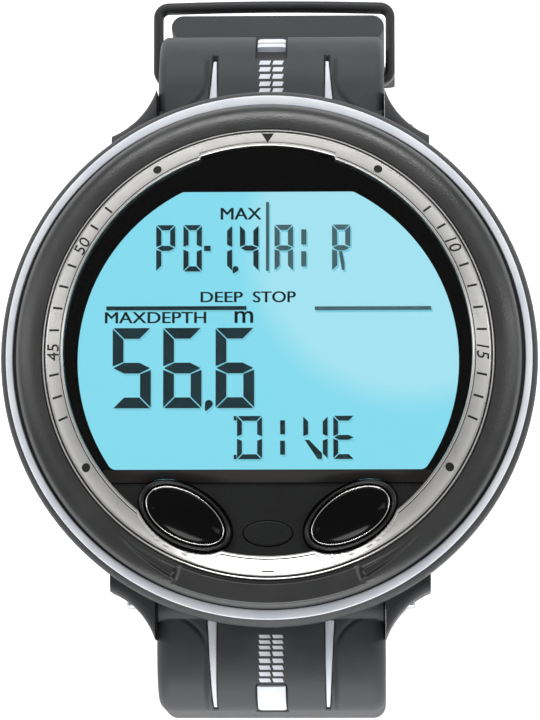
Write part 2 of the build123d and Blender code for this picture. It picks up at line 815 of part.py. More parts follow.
cell_z = boss_top_z + 0.1
with BuildPart() as cover_contact:
    with BuildSketch(Plane.XZ.offset(-cell_y)):
        with BuildLine():
            Polyline(
                (spring_tip_inner, cell_z - seat_gap - contact_sheet),
                (spring_tip_inner, cell_z - seat_gap),
                (spring_tip_outer, cell_z - seat_gap),
                (spring_foot, cover_thickness + contact_sheet),
                (spring_foot, cover_thickness),
                (spring_foot - 0.8, cover_thickness),
                close=True,
            )
        make_face()
    revolve(axis=Axis((0, cell_y, 0), (0, 0, 1)))
save(cover_contact, "cover_contact")

with BuildPart() as coin_cell:
    with BuildSketch(Plane.XY.offset(cell_z)):
        with Locations((0, cell_y)):
            Circle(cell_radius)
    extrude(amount=cell_height)
    fillet(coin_cell.edges().group_by(Axis.Z)[0], 0.4)
save(coin_cell, "coin_cell")

holder_z = boss_top_z + 0.05
holder_roof_z = board_under_z - 0.05 - holder_roof
with BuildPart() as battery_holder:
    with BuildSketch(Plane.XY.offset(holder_z)):
        with Locations((0, cell_y)):
            Circle(cell_radius + cell_play + holder_wall)
            Circle(cell_radius + cell_play, mode=Mode.SUBTRACT)
    extrude(amount=holder_roof_z - holder_z)
    with BuildSketch(Plane.XY.offset(holder_roof_z)):
        with Locations((0, cell_y)):
            Circle(cell_radius + cell_play + holder_wall)
            Rectangle(contact_length + 0.4, contact_width + 0.4, mode=Mode.SUBTRACT)
    extrude(amount=holder_roof)
save(battery_holder, "battery_holder")

with BuildPart() as board_contact:
    with BuildSketch(Plane.XY.offset(cell_z + cell_height + 0.05)):
        with Locations((0, cell_y)):
            Rectangle(contact_length, contact_width)
    extrude(amount=contact_sheet)
    contact_top_z = cell_z + cell_height + 0.05 + contact_sheet
    with BuildSketch(Plane.XY.offset(contact_top_z)):
        with Locations((-contact_length / 2 + 1, cell_y), (contact_length / 2 - 1, cell_y)):
            Rectangle(1.6, contact_width - 1)
    extrude(amount=board_under_z - contact_top_z)
save(board_contact, "board_contact")

with BuildPart() as pressure_sensor:
    with BuildSketch(Plane.XY.offset(back_thickness + sensor_seat)):
        with Locations((0, sensor_y)):
            Circle(sensor_radius)
    extrude(amount=sensor_height)
    with BuildSketch(Plane.XY.offset(back_thickness)):
        with Locations((0, sensor_y)):
            Circle(port_radius - 0.2)
            Circle(port_radius - 0.2 - port_wall, mode=Mode.SUBTRACT)
    extrude(amount=sensor_seat)
save(pressure_sensor, "pressure_sensor")

with BuildPart() as sensor_oring:
    with BuildSketch(Plane.XY.offset(back_thickness)):
        with Locations((0, sensor_y)):
            Circle(port_radius + 0.9)
            Circle(port_radius + 0.1, mode=Mode.SUBTRACT)
    extrude(amount=sensor_seat)
save(sensor_oring, "sensor_oring")

with BuildPart() as sensor_grille:
    with BuildSketch(Plane.XY.offset(grille_sunk)):
        with Locations((0, sensor_y)):
            Circle(port_radius - running_fit)
            with PolarLocations(grille_ring, 6):
                Circle(grille_hole, mode=Mode.SUBTRACT)
            Circle(grille_hole, mode=Mode.SUBTRACT)
    extrude(amount=grille_thickness)
save(sensor_grille, "sensor_grille")

# ======== strap =========================================================================
def parallel(points, radii, distance):
    """Corners and bend radii of the line that runs to the left of a bent line."""
    steps = [Vector(*end) - Vector(*start) for start, end in zip(points, points[1:])]
    units = [step.normalized() for step in steps]
    normals = [Vector(-unit.Y, unit.X) for unit in units]
    corners = [Vector(*points[0]) + normals[0] * distance]
    bends = []
    for index, radius in enumerate(radii):
        before, after = normals[index], normals[index + 1]
        mitre = (before + after) * (distance / (1 + before.dot(after)))
        corners.append(Vector(*points[index + 1]) + mitre)
        turns_left = units[index].cross(units[index + 1]).Z > 0
        bends.append(radius - distance if turns_left else radius + distance)
    corners.append(Vector(*points[-1]) + normals[-1] * distance)
    return corners, bends


def strap_band(points, radii, low, high):
    """Flat side view of the strap between two distances from its middle line."""
    with BuildSketch(mode=Mode.PRIVATE) as band:
        with BuildLine():
            near_points, near_radii = parallel(points, radii, low)
            far_points, far_radii = parallel(points, radii, high)
            near = FilletPolyline(*near_points, radius=near_radii)
            far = FilletPolyline(*far_points, radius=far_radii)
            Line(near @ 0, far @ 0)
            Line(near @ 1, far @ 1)
        make_face()
    return band.sketch_local


def part_way(start, end, share):
    """Point a share of the way from one corner to the next."""
    return tuple(a + (b - a) * share for a, b in zip(start, end))


upper_line = [(pin_y, pin_z), (upper_shoulder_y, shoulder_z), (buckle_y, buckle_z)]
upper_bends = [strap_bend]
lower_line = [
    (-pin_y, pin_z),
    (lower_shoulder_y, shoulder_z),
    (lower_side_y, loop_z),
    (loop_right_y, loop_z),
    (tail_y, tail_z),
]
lower_bends = [strap_bend, loop_bend_left, loop_bend_right]
upper_inlay_line = [part_way(upper_line[0], upper_line[1], inlay_start), upper_line[1],
                    part_way(upper_line[1], upper_line[2], upper_inlay_end)]
lower_inlay_line = [part_way(lower_line[0], lower_line[1], inlay_start), lower_line[1],
                    part_way(lower_line[1], lower_line[2], lower_inlay_end)]

with BuildPart() as upper_strap:
    with BuildSketch(Plane.YZ):
        add(strap_band(upper_line, upper_bends, -half_thick, half_thick))
        with Locations(upper_line[0]):
            Circle(strap_barrel)
        with Locations(upper_line[-1]):
            Circle(buckle_barrel)
    extrude(amount=strap_width / 2, both=True)
    with BuildSketch(Plane.YZ):
        with Locations(upper_line[0]):
            Circle(pin_radius + running_fit)
        with Locations(upper_line[-1]):
            Circle(buckle_pin_radius + running_fit)
    extrude(amount=strap_width, both=True, mode=Mode.SUBTRACT)
    # notch that the prong's eye sits in, and the slot over the bend
    with Locations((0, buckle_y, buckle_z)):
        Box(prong_width + 2 * part_gap, 3 * buckle_barrel, 2 * (buckle_barrel + part_gap),
            mode=Mode.SUBTRACT)
    with Locations((0, upper_shoulder_y + slot_offset, (upper_slot_low_z + slot_high_z) / 2)):
        Box(slot_width, slot_reach, slot_high_z - upper_slot_low_z, mode=Mode.SUBTRACT)
    # grooves for the light strips
    for side in (-1, 1):
        with BuildSketch(Plane.YZ.offset(side * inlay_x)):
            add(strap_band(upper_inlay_line, upper_bends, half_thick - inlay_depth, half_thick))
        extrude(amount=inlay_width / 2, both=True, mode=Mode.SUBTRACT)
save(upper_strap, "upper_strap")

with BuildPart() as upper_strap_inlays:
    for side in (-1, 1):
        with BuildSketch(Plane.YZ.offset(side * inlay_x)):
            add(strap_band(upper_inlay_line, upper_bends, half_thick - inlay_depth, half_thick))
        extrude(amount=inlay_width / 2, both=True)
save(upper_strap_inlays, "upper_strap_inlays")

with BuildPart() as lower_strap:
    with BuildSketch(Plane.YZ):
        add(strap_band(lower_line, lower_bends, -half_thick, half_thick))
        with Locations(lower_line[0]):
            Circle(strap_barrel)
    extrude(amount=strap_width / 2, both=True)
    with BuildSketch(Plane.YZ):
        with Locations(lower_line[0]):
            Circle(pin_radius + running_fit)
    extrude(amount=strap_width, both=True, mode=Mode.SUBTRACT)
    # slot over the bend and the row of holes for the prong
    with Locations((0, lower_shoulder_y - slot_offset, (lower_slot_low_z + slot_high_z) / 2)):
        Box(slot_width, slot_reach, slot_high_z - lower_slot_low_z, mode=Mode.SUBTRACT)
    with BuildSketch(Plane.XY.offset(loop_z - strap_thickness)):
        for index in range(prong_hole_count):
            with Locations((0, prong_hole_first_y + index * prong_hole_pitch)):
                Rectangle(prong_hole_width, prong_hole_length)
    extrude(amount=2 * strap_thickness, mode=Mode.SUBTRACT)
    for side in (-1, 1):
        with BuildSketch(Plane.YZ.offset(side * inlay_x)):
            add(strap_band(lower_inlay_line, lower_bends[:1], -half_thick, inlay_depth - half_thick))
        extrude(amount=inlay_width / 2, both=True, mode=Mode.SUBTRACT)
save(lower_strap, "lower_strap")

with BuildPart() as lower_strap_inlays:
    for side in (-1, 1):
        with BuildSketch(Plane.YZ.offset(side * inlay_x)):
            add(strap_band(lower_inlay_line, lower_bends[:1], -half_thick, inlay_depth - half_thick))
        extrude(amount=inlay_width / 2, both=True)
save(lower_strap_inlays, "lower_strap_inlays")

for name, y in (("upper_strap_pin", pin_y), ("lower_strap_pin", -pin_y)):
    with BuildPart() as strap_pin:
        with BuildSketch(Plane.YZ):
            with Locations((y, pin_z)):
                Circle(pin_radius)
        extrude(amount=pin_half_length, both=True)
        chamfer(strap_pin.edges().filter_by(GeomType.CIRCLE), 0.2)
    save(strap_pin, name)

# ======== keeper ========================================================================
shoulder_point = Vector(0, upper_shoulder_y, shoulder_z)
buckle_point = Vector(0, buckle_y, buckle_z)
strap_run = (shoulder_point - buckle_point).normalized()
keeper_centre = buckle_point + strap_run * ((keeper_z - buckle_z) / strap_run.Z)
keeper_plane = Plane(origin=keeper_centre, x_dir=(1, 0, 0), z_dir=strap_run)
keeper_half_width = strap_width / 2 + keeper_side_gap
keeper_low = -half_thick - keeper_under_gap
keeper_high = half_thick + keeper_tail_gap

with BuildPart() as strap_keeper:
    with BuildSketch(keeper_plane):
        with Locations((0, (keeper_low + keeper_high) / 2)):
            RectangleRounded(2 * (keeper_half_width + keeper_wall),
                             keeper_high - keeper_low + 2 * keeper_wall, keeper_corner)
            RectangleRounded(2 * keeper_half_width, keeper_high - keeper_low,
                             keeper_corner - keeper_wall + 0.1, mode=Mode.SUBTRACT)
    extrude(amount=keeper_depth / 2, both=True)
save(strap_keeper, "strap_keeper")

# ======== buckle ========================================================================
frame_inner = strap_width / 2 + frame_side_gap
frame_outer = frame_inner + frame_wall_x
with BuildPart() as buckle_frame:
    with BuildSketch(Plane.XZ.offset(-buckle_y)):
        with Locations((0, buckle_z + frame_above_pin - (frame_length + frame_above_pin) / 2)):
            RectangleRounded(2 * frame_outer, frame_length + frame_above_pin, 1.5)
        with Locations((0, buckle_z - frame_length + frame_bar + frame_length)):
            RectangleRounded(2 * frame_inner, 2 * frame_length, 0.5, mode=Mode.SUBTRACT)
    extrude(amount=frame_depth / 2, both=True)
    with BuildSketch(Plane.YZ):
        with Locations((buckle_y, buckle_z)):
            Circle(buckle_pin_radius + running_fit)
    extrude(amount=frame_outer + 1, both=True, mode=Mode.SUBTRACT)
save(buckle_frame, "buckle_frame")

with BuildPart() as buckle_pin:
    with BuildSketch(Plane.YZ):
        with Locations((buckle_y, buckle_z)):
            Circle(buckle_pin_radius)
    extrude(amount=frame_outer, both=True)
save(buckle_pin, "buckle_pin")

prong_y = buckle_y + frame_depth / 2 + prong_thickness / 2 + 0.1
with BuildPart() as buckle_prong:
    with BuildSketch(Plane.YZ):
        with BuildLine():
            FilletPolyline(
                (buckle_y, buckle_z + prong_eye),
                (prong_y + prong_thickness / 2, buckle_z + prong_eye),
                (prong_y + prong_thickness / 2, buckle_z - prong_length),
                (prong_y - prong_thickness / 2, buckle_z - prong_length),
                (prong_y - prong_thickness / 2, buckle_z),
                (buckle_y, buckle_z),
                close=True,
                radius=0.3,
            )
        make_face()
        with Locations((buckle_y, buckle_z)):
            Circle(prong_eye)
            Circle(buckle_pin_radius + running_fit, mode=Mode.SUBTRACT)
    extrude(amount=prong_width / 2, both=True)
save(buckle_prong, "buckle_prong")
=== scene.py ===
# %% [markdown]
# # A wrist dive computer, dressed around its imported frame
# The frame brings every solid piece at its real size and place. This lesson gives those pieces
# their finishes, and rebuilds the ones that the eye rests on (rings, buttons, display, strap) as
# smooth numpy surfaces. All lengths here are millimetres and become metres in one helper.

# %% Load the frame
import json
import math

import bmesh
import bpy
import numpy as np
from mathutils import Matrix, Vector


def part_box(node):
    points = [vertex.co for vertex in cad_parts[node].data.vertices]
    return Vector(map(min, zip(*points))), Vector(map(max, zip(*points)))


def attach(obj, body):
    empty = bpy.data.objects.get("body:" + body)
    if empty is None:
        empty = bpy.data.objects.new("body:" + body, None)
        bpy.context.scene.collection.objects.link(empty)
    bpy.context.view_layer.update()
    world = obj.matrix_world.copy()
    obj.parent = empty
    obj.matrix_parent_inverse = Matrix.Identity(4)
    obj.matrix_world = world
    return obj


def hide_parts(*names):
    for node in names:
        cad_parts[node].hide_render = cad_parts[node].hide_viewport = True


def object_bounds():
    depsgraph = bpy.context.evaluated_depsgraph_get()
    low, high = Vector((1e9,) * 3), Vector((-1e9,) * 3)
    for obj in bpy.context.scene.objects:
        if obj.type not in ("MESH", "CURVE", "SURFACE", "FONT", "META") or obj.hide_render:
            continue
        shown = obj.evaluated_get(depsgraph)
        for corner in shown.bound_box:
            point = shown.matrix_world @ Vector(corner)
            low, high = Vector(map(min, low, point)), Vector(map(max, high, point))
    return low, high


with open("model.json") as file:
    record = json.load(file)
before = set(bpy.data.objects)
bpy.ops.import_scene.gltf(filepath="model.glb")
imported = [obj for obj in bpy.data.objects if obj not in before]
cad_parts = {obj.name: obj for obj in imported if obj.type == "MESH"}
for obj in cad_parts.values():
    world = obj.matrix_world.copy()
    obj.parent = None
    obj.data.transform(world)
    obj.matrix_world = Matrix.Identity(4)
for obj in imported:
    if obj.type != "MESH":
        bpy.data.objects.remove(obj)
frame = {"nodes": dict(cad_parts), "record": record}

cad_box = [list(corner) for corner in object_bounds()]

# %% [markdown]
# ## Measures that come from the frame
# A node's box gives its place. Reading the sizes there keeps the looks on the solids when a size
# changes, so only details that the solids don't have get numbers of their own.

# %% Read places and sizes in millimetres
def span(node):
    """Lowest and highest corner of a node, in millimetres."""
    low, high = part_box(node)
    return np.array(low) * 1000, np.array(high) * 1000


accent_low, accent_high = span("accent_ring")
bezel_low, bezel_high = span("bezel_ring")
trim_low, trim_high = span("trim_ring")
lens_low, lens_high = span("lens")
mask_low = span("display_mask")[0]
rim_low, rim_high = span("right_button_rim")
cap_low, cap_high = span("right_button_cap")
strap_half_width = span("upper_strap")[1][0]
keeper_low, keeper_high = span("strap_keeper")
pin_low, pin_high = span("upper_strap_pin")
print("steel ring", round(trim_high[0], 2), "in radius, its top at", round(trim_high[2], 2))

# %% [markdown]
# ## Three helpers for shapes
# A surface is a grid of points, worked out as whole arrays and put into the mesh at once. A ring
# is a closed profile carried round the Z axis. A plate is a flat outline with a thickness.

# %% Mesh helpers
def finish_mesh(name, points, faces, smooth_angle=35):
    """Object from points in millimetres, faces turned outwards, soft within smooth_angle."""
    mesh = bpy.data.meshes.new(name)
    mesh.from_pydata((np.asarray(points) * 0.001).tolist(), [], faces)
    work = bmesh.new()
    work.from_mesh(mesh)
    bmesh.ops.remove_doubles(work, verts=work.verts, dist=1e-7)
    bmesh.ops.recalc_face_normals(work, faces=work.faces)
    work.to_mesh(mesh)
    work.free()
    mesh.shade_smooth()
    mesh.set_sharp_from_angle(angle=math.radians(smooth_angle))
    piece = bpy.data.objects.new(name, mesh)
    bpy.context.scene.collection.objects.link(piece)
    return piece


def grid_faces(rows, columns, offset=0, close_rows=False, close_columns=False):
    """Quads between neighbours on a grid of rows x columns points, as a list of corner lists."""
    row = np.arange(rows if close_rows else rows - 1)
    column = np.arange(columns if close_columns else columns - 1)
    r, c = np.meshgrid(row, column, indexing="ij")
    r2, c2 = (r + 1) % rows, (c + 1) % columns
    quads = np.stack([r * columns + c, r * columns + c2, r2 * columns + c2, r2 * columns + c], -1)
    return (quads.reshape(-1, 4) + offset).tolist()


def ring_surface(name, profile, turns=540, smooth_angle=35):
    """A closed profile carried round Z. profile(angle) gives radii and heights: two arrays of
    shape (turns, n). Angle 0 is at twelve o'clock and grows clockwise seen from the front."""
    angle = np.linspace(0, 2 * np.pi, turns, endpoint=False)[:, None]
    radius, height = profile(angle)
    points = np.stack([radius * np.sin(angle), radius * np.cos(angle), height], -1)
    rows, columns = radius.shape
    faces = grid_faces(rows, columns, close_rows=True, close_columns=True)
    return finish_mesh(name, points.reshape(-1, 3), faces, smooth_angle)


def tube_surface(name, sections, smooth_angle=35):
    """A closed solid from a stack of closed loops (rows, n, 3), with its two ends capped."""
    rows, columns, _ = sections.shape
    faces = grid_faces(rows, columns, close_columns=True)
    faces.append(list(range(columns)))
    faces.append(list(range((rows - 1) * columns, rows * columns)))
    return finish_mesh(name, sections.reshape(-1, 3), faces, smooth_angle)


def plates(name, outlines, low, high):
    """Flat closed outlines (lists of x, y) made into one mesh of upright-sided plates."""
    points, faces = [], []
    for outline in outlines:
        flat = np.asarray(outline, float)
        count, start = len(flat), len(points)
        points += [(x, y, low) for x, y in flat] + [(x, y, high) for x, y in flat]
        faces += [list(range(start, start + count)), list(range(start + count, start + 2 * count))]
        faces += [[start + i, start + (i + 1) % count, start + count + (i + 1) % count,
                   start + count + i] for i in range(count)]
    return finish_mesh(name, points, faces, 20)


def bump_between(value, low, high, soft):
    """1 between low and high, 0 outside, with a smooth step of width soft at both ends."""
    rise = np.clip((value - low) / soft + 0.5, 0, 1)
    fall = np.clip((high - value) / soft + 0.5, 0, 1)
    return (rise * rise * (3 - 2 * rise)) * (fall * fall * (3 - 2 * fall))


# %% [markdown]
# ## One helper for materials
# Each finish below is built from nodes. One function adds a node with its settings and links, and
# one turns a hex colour into the linear values that the shader expects.

# %% Material helpers
def linear(code):
    """sRGB hex text to a linear RGBA tuple."""
    channels = [int(code[i:i + 2], 16) / 255 for i in (0, 2, 4)]
    return tuple(c / 12.92 if c <= 0.04045 else ((c + 0.055) / 1.055) ** 2.4 for c in channels) + (1,)


def node(tree, kind, links=(), **settings):
    """Adds a node. settings name its properties, or its inputs with spaces written as _. links are
    pairs of an input's name or number and the socket that feeds it."""
    made = tree.nodes.new(kind)
    for key, value in settings.items():
        if hasattr(made, key):
            setattr(made, key, value)
        else:
            made.inputs[key.replace("_", " ")].default_value = value
    for target, source in links:
        tree.links.new(source, made.inputs[target])
    return made


def finish(name, colour, roughness, **settings):
    """A material with one Principled shader. Returns the material, its tree and its shader."""
    made = bpy.data.materials.new(name)
    made.use_nodes = True
    tree = made.node_tree
    shader = tree.nodes["Principled BSDF"]
    shader.inputs["Base Color"].default_value = linear(colour)
    shader.inputs["Roughness"].default_value = roughness
    for key, value in settings.items():
        shader.inputs[key.replace("_", " ")].default_value = value
    made.diffuse_color = linear(colour)
    return made, tree, shader


def grain(tree, shader, size_mm, depth, tone, rough, tone_mm=6.0):
    """Moulded grain: fine noise as bump, and broad noise that shifts tone and roughness a little.
    size_mm is one grain's width, tone a pair of hex colours, rough a pair of roughness values."""
    place = node(tree, "ShaderNodeTexCoord").outputs["Object"]
    fine = node(tree, "ShaderNodeTexNoise", [("Vector", place)], Scale=1000 / size_mm, Detail=3.0)
    bump = node(tree, "ShaderNodeBump", [("Height", fine.outputs["Fac"])], Distance=0.0001,
                Strength=depth)
    tree.links.new(bump.outputs["Normal"], shader.inputs["Normal"])
    broad = node(tree, "ShaderNodeTexNoise", [("Vector", place)], Scale=1000 / tone_mm, Detail=4.0)
    ramp = node(tree, "ShaderNodeValToRGB", [("Fac", broad.outputs["Fac"])])
    for element, position, code in zip(ramp.color_ramp.elements, (0.35, 0.65), tone):
        element.position, element.color = position, linear(code)
    tree.links.new(ramp.outputs["Color"], shader.inputs["Base Color"])
    spread = node(tree, "ShaderNodeMapRange", [("Value", broad.outputs["Fac"])],
                  From_Min=0.3, From_Max=0.7, To_Min=rough[0], To_Max=rough[1])
    tree.links.new(spread.outputs["Result"], shader.inputs["Roughness"])


def grained(name, colour, roughness, size_mm, depth, tone, rough, tone_mm=6.0, **settings):
    """A finish with grain in one call. Returns the material."""
    made, tree, shader = finish(name, colour, roughness, **settings)
    grain(tree, shader, size_mm, depth, tone, rough, tone_mm)
    return made


# %% [markdown]
# ## Finishes
# Each finish is named for its real material and how its surface was made. The blacks differ mostly
# in gloss: the shell is a soft satin, the bezel has a fine leather-like grain, the buttons are
# polished and the strap is a dry matt rubber.

# %% Shell: injection moulded black thermoplastic rubber, satin
shell_black = grained("moulded_tpu_shell", "333436", 0.5, 0.22, 0.3, ("2f3032", "38393b"),
                      (0.46, 0.56), Specular_IOR_Level=0.4)

# %% Bezel: fine spark-eroded grain, moulded in a slightly glossier black
bezel_black = grained("spark_grained_abs_bezel", "151617", 0.36, 0.32, 0.32, ("121314", "191a1b"),
                      (0.32, 0.42), Specular_IOR_Level=0.9)

# %% Accent: white thermoplastic elastomer, a little translucent
accent_white = grained("white_tpe_accent", "e6e9f0", 0.38, 0.4, 0.1, ("dfe3ec", "edf0f5"),
                       (0.34, 0.44), Subsurface_Weight=0.15,
                       Subsurface_Radius=(0.001, 0.001, 0.0012))

# %% Strap: moulded rubber, dry matt with a faint bloom
strap_black = grained("moulded_rubber_strap", "3e3f42", 0.6, 0.18, 0.4, ("3a3b3e", "434447"),
                      (0.55, 0.66), Specular_IOR_Level=0.4)

# %% Light rubber of the strap's slits
strap_white = grained("white_rubber_strip", "e2e6ee", 0.5, 0.3, 0.15, ("dadfe8", "eaedf3"),
                      (0.45, 0.55))

# %% Keeper: moulded nylon, satin
keeper_black = grained("moulded_nylon_keeper", "202123", 0.42, 0.25, 0.35, ("1d1e20", "252628"),
                       (0.38, 0.48))

# %% Steel: stainless, turned on a lathe and glass-beaded to a satin
steel, tree, shader = finish("turned_stainless_steel", "c3c2bf", 0.3, Metallic=1.0)
place = node(tree, "ShaderNodeTexCoord").outputs["Object"]
flat = node(tree, "ShaderNodeVectorMath", [(0, place)], operation="MULTIPLY")
flat.inputs[1].default_value = (1, 1, 0)
reach = node(tree, "ShaderNodeVectorMath", [(0, flat.outputs["Vector"])], operation="LENGTH")
# turning marks are some 0.05 mm apart, drawn at 0.16 mm so that they show
marks = node(tree, "ShaderNodeTexNoise", [("W", reach.outputs["Value"])], noise_dimensions="1D",
             Scale=1000 / 0.16, Detail=2.0)
bump = node(tree, "ShaderNodeBump", [("Height", marks.outputs["Fac"])], Distance=0.00004,
            Strength=0.25)
tree.links.new(bump.outputs["Normal"], shader.inputs["Normal"])
wear = node(tree, "ShaderNodeTexNoise", [("Vector", place)], Scale=1000 / 3.0, Detail=5.0)
gloss = node(tree, "ShaderNodeMapRange", [("Value", wear.outputs["Fac"])], From_Min=0.3,
             From_Max=0.7, To_Min=0.26, To_Max=0.36)
tree.links.new(gloss.outputs["Result"], shader.inputs["Roughness"])

# %% Polished steel for bright edges
bright_steel = grained("polished_stainless_edge", "e8e6e2", 0.12, 0.5, 0.05, ("dedcd8", "efeeea"),
                       (0.08, 0.18), Metallic=1.0)

# %% Buttons: polished black acrylic
gloss_black = grained("polished_black_acrylic", "040405", 0.1, 1.2, 0.04, ("030304", "060607"),
                      (0.07, 0.13), Specular_IOR_Level=0.12)

# %% Mask: black print behind the glass
mask_black = grained("screen_printed_black", "060607", 0.4, 0.2, 0.1, ("050506", "08090a"),
                     (0.36, 0.46), Specular_IOR_Level=0.2)

# %% Button panel: black moulding with a fine matt grain
panel_black = grained("matt_moulded_panel", "0f1011", 0.5, 0.25, 0.4, ("0d0e0f", "121314"),
                      (0.46, 0.56), Specular_IOR_Level=0.3)

# %% Glass: toughened mineral glass with an anti-reflection film, which lowers its gloss
mineral_glass = finish("coated_mineral_glass", "ffffff", 0.0, IOR=1.28, Transmission_Weight=1.0)[0]
print("finishes so far:", len(bpy.data.materials))

# %% [markdown]
# ## Finishes of the inner pieces
# What sits inside is seen only when the part is taken apart, so these finishes are simpler, but
# each still has the grain and the variation of its own material.

# %% Inner finishes, one line each: name, colours, roughness range, metal share, grain width
inner_finishes = {
    "seal_rubber": ("nitrile_rubber_seal", "141415", "1c1c1d", 0.5, 0.6, 0.0, 0.15),
    "spring_steel": ("drawn_spring_steel", "a9abad", "c2c3c4", 0.2, 0.3, 1.0, 0.3),
    "circuit_board": ("solder_masked_glass_epoxy", "0d4a2a", "135a34", 0.3, 0.42, 0.0, 0.6),
    "component_black": ("moulded_epoxy_package", "17181a", "222325", 0.45, 0.6, 0.0, 0.12),
    "inner_plastic": ("moulded_white_polycarbonate", "c9cbcd", "dadcdd", 0.35, 0.5, 0.0, 0.3),
    "contact_metal": ("gold_plated_bronze", "c9a453", "dcb968", 0.2, 0.3, 1.0, 0.3),
    "cell_steel": ("nickel_plated_steel", "b4b6b8", "c9cacb", 0.18, 0.28, 1.0, 0.5),
    "black_print": ("screen_printed_black_film", "090a0b", "0d0e0f", 0.3, 0.4, 0.0, 0.2),
}
slot_finish = {}
for slot_name, (title, dark, light, low, high, metal, width) in inner_finishes.items():
    slot_finish[slot_name] = grained(title, dark, low, width, 0.3, (dark, light), (low, high), 2.5,
                                     Metallic=metal)
slot_finish.update(black_shell=shell_black, black_bezel=bezel_black, white_trim=accent_white,
                   steel=steel, glass=mineral_glass, black_gloss=gloss_black,
                   strap_rubber=strap_black, strap_light=strap_white)
for sub in frame["record"]["subparts"]:
    if sub["material_slot"] in slot_finish:
        mesh = frame["nodes"][sub["node"]].data
        mesh.materials.clear()
        mesh.materials.append(slot_finish[sub["material_slot"]])


def dress(piece, material, body, slot_name, *replaced):
    """Gives a finished piece its material and its body and hides the nodes it stands for. slot_name is
    not used.
    """
    piece.data.materials.append(material)
    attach(piece, body)
    if replaced:
        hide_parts(*replaced)
    print(piece.name, len(piece.data.polygons), "faces")
    return piece


# %% [markdown]
# ## White accent ring
# On the real case a white elastomer ring is moulded between the bumper and the bezel. A torus
# would do, but the ring is wider at twelve and six o'clock, so its inner edge is an ellipse and
# the profile is a shallow dome between the two edges.

# %% Accent ring
def accent_profile(angle):
    """Dome: width from an ellipse to a circle, height a flattened half sine over the width."""
    inner_x, inner_y = accent_high[0] - 0.95, accent_high[0] - 1.35
    inner = 1 / np.sqrt((np.sin(angle) / inner_x) ** 2 + (np.cos(angle) / inner_y) ** 2)
    share = np.linspace(0, 1, 14)[None, :]
    radius = accent_high[0] - share * (accent_high[0] - inner)
    top = accent_high[2] - 0.22 + 0.19 * np.sin(np.pi * share) ** 0.25
    base = np.full_like(inner, accent_low[2])
    radii = np.concatenate([radius, inner, np.full_like(inner, accent_high[0])], 1)
    heights = np.concatenate([np.broadcast_to(top, radius.shape), base, base], 1)
    return radii, heights


dress(ring_surface("accent_band", accent_profile), accent_white, "case", "white_trim",
      "accent_ring")

# %% [markdown]
# ## Bezel
# The bezel is a rounded black ring with a raised tab at six o'clock and a tapered finger groove on
# each side of it. Sculpting would lose the circle, so the crown is an arc in the profile, and tab
# and grooves are height fields over angle and radius.

# %% Bezel ring
tab_half_angle = math.radians(22.5)
tab_height = 0.85
groove_depth = 0.75


def bezel_profile(angle):
    """Crown: a quarter of a superellipse from the outer edge up to the steel ring, plus the tab
    and minus the grooves."""
    outer, inner = bezel_high[0], trim_high[0] + 0.1
    edge_z, crest_z = bezel_low[2] + 1.1, trim_low[2] + 0.3
    share = np.linspace(0, 1, 44)[None, :]
    turn = share * np.pi / 2
    radius = inner + (outer - inner) * np.cos(turn) ** 0.85
    height = edge_z + (crest_z - edge_z) * np.sin(turn) ** 0.8
    radius, height = np.broadcast_arrays(radius + 0 * angle, height + 0 * angle)
    from_six = np.abs(np.pi - angle)
    tab = bump_between(from_six, -1, tab_half_angle, 0.006)
    tab = tab * bump_between(radius, inner + 0.35, outer - 0.6, 0.18)
    tab_level = crest_z - 0.55 + tab_height + 0 * angle
    height = height + tab * np.maximum(tab_level - height, 0)
    along = np.clip((from_six - tab_half_angle) / math.radians(19), 0, 1)
    width = 1.25 * (1 - along) ** 0.7 + 0.02
    centre = inner + 1.55 - 0.75 * along
    groove = np.exp(-((radius - centre) / (0.55 * width)) ** 4)
    groove = groove * bump_between(from_six, tab_half_angle + 0.01, tab_half_angle + 0.34, 0.02)
    height = height - groove_depth * groove * (1 - along)
    foot = np.full_like(angle, bezel_low[2])
    radii = np.concatenate([np.full_like(angle, outer), radius, np.full_like(angle, inner)], 1)
    heights = np.concatenate([foot, height, foot], 1)
    return radii, heights


dress(ring_surface("bezel_crown", bezel_profile, 720, 50), bezel_black, "case", "black_bezel",
      "bezel_ring")

# %% [markdown]
# ## Steel ring
# The ring is a turned cone: a bright outer lip, a fine dark groove, a second bright line, a satin
# face that climbs inwards and a rounded inner edge. Its inner edge steps back across the top and
# makes room for the button rims, so the inner radius is a function of the angle.

# %% Where the button rims cut into the ring
button_centre = np.array([(rim_low[0] + rim_high[0]) / 2, (rim_low[1] + rim_high[1]) / 2])
button_tilt = math.radians(30)
rim_axes = np.array([7.1, 4.2])
cap_axes = np.array([6.0, 3.3])


def oval(side, axes, turn, egg=0.0):
    """Points of a tilted oval about a button's centre. egg widens its outer end: the short axis
    is multiplied by 1 + egg * cos(turn) towards the case's edge."""
    out = np.cos(turn)
    x = axes[0] * out
    y = axes[1] * np.sin(turn) * (1 + egg * out)
    tilt = button_tilt
    across = x * math.cos(tilt) - y * math.sin(tilt)
    upward = x * math.sin(tilt) + y * math.cos(tilt)
    return np.stack([side * (button_centre[0] + across), button_centre[1] + upward], -1)


def plain_edge(angle):
    """Radius of the ring's inner edge without the rims: a circle, set back by 0.5 near twelve."""
    from_twelve = np.abs(np.angle(np.exp(1j * angle)))
    return lens_high[0] - 0.3 + 0.5 * bump_between(from_twelve, -1, math.radians(19), 0.02)


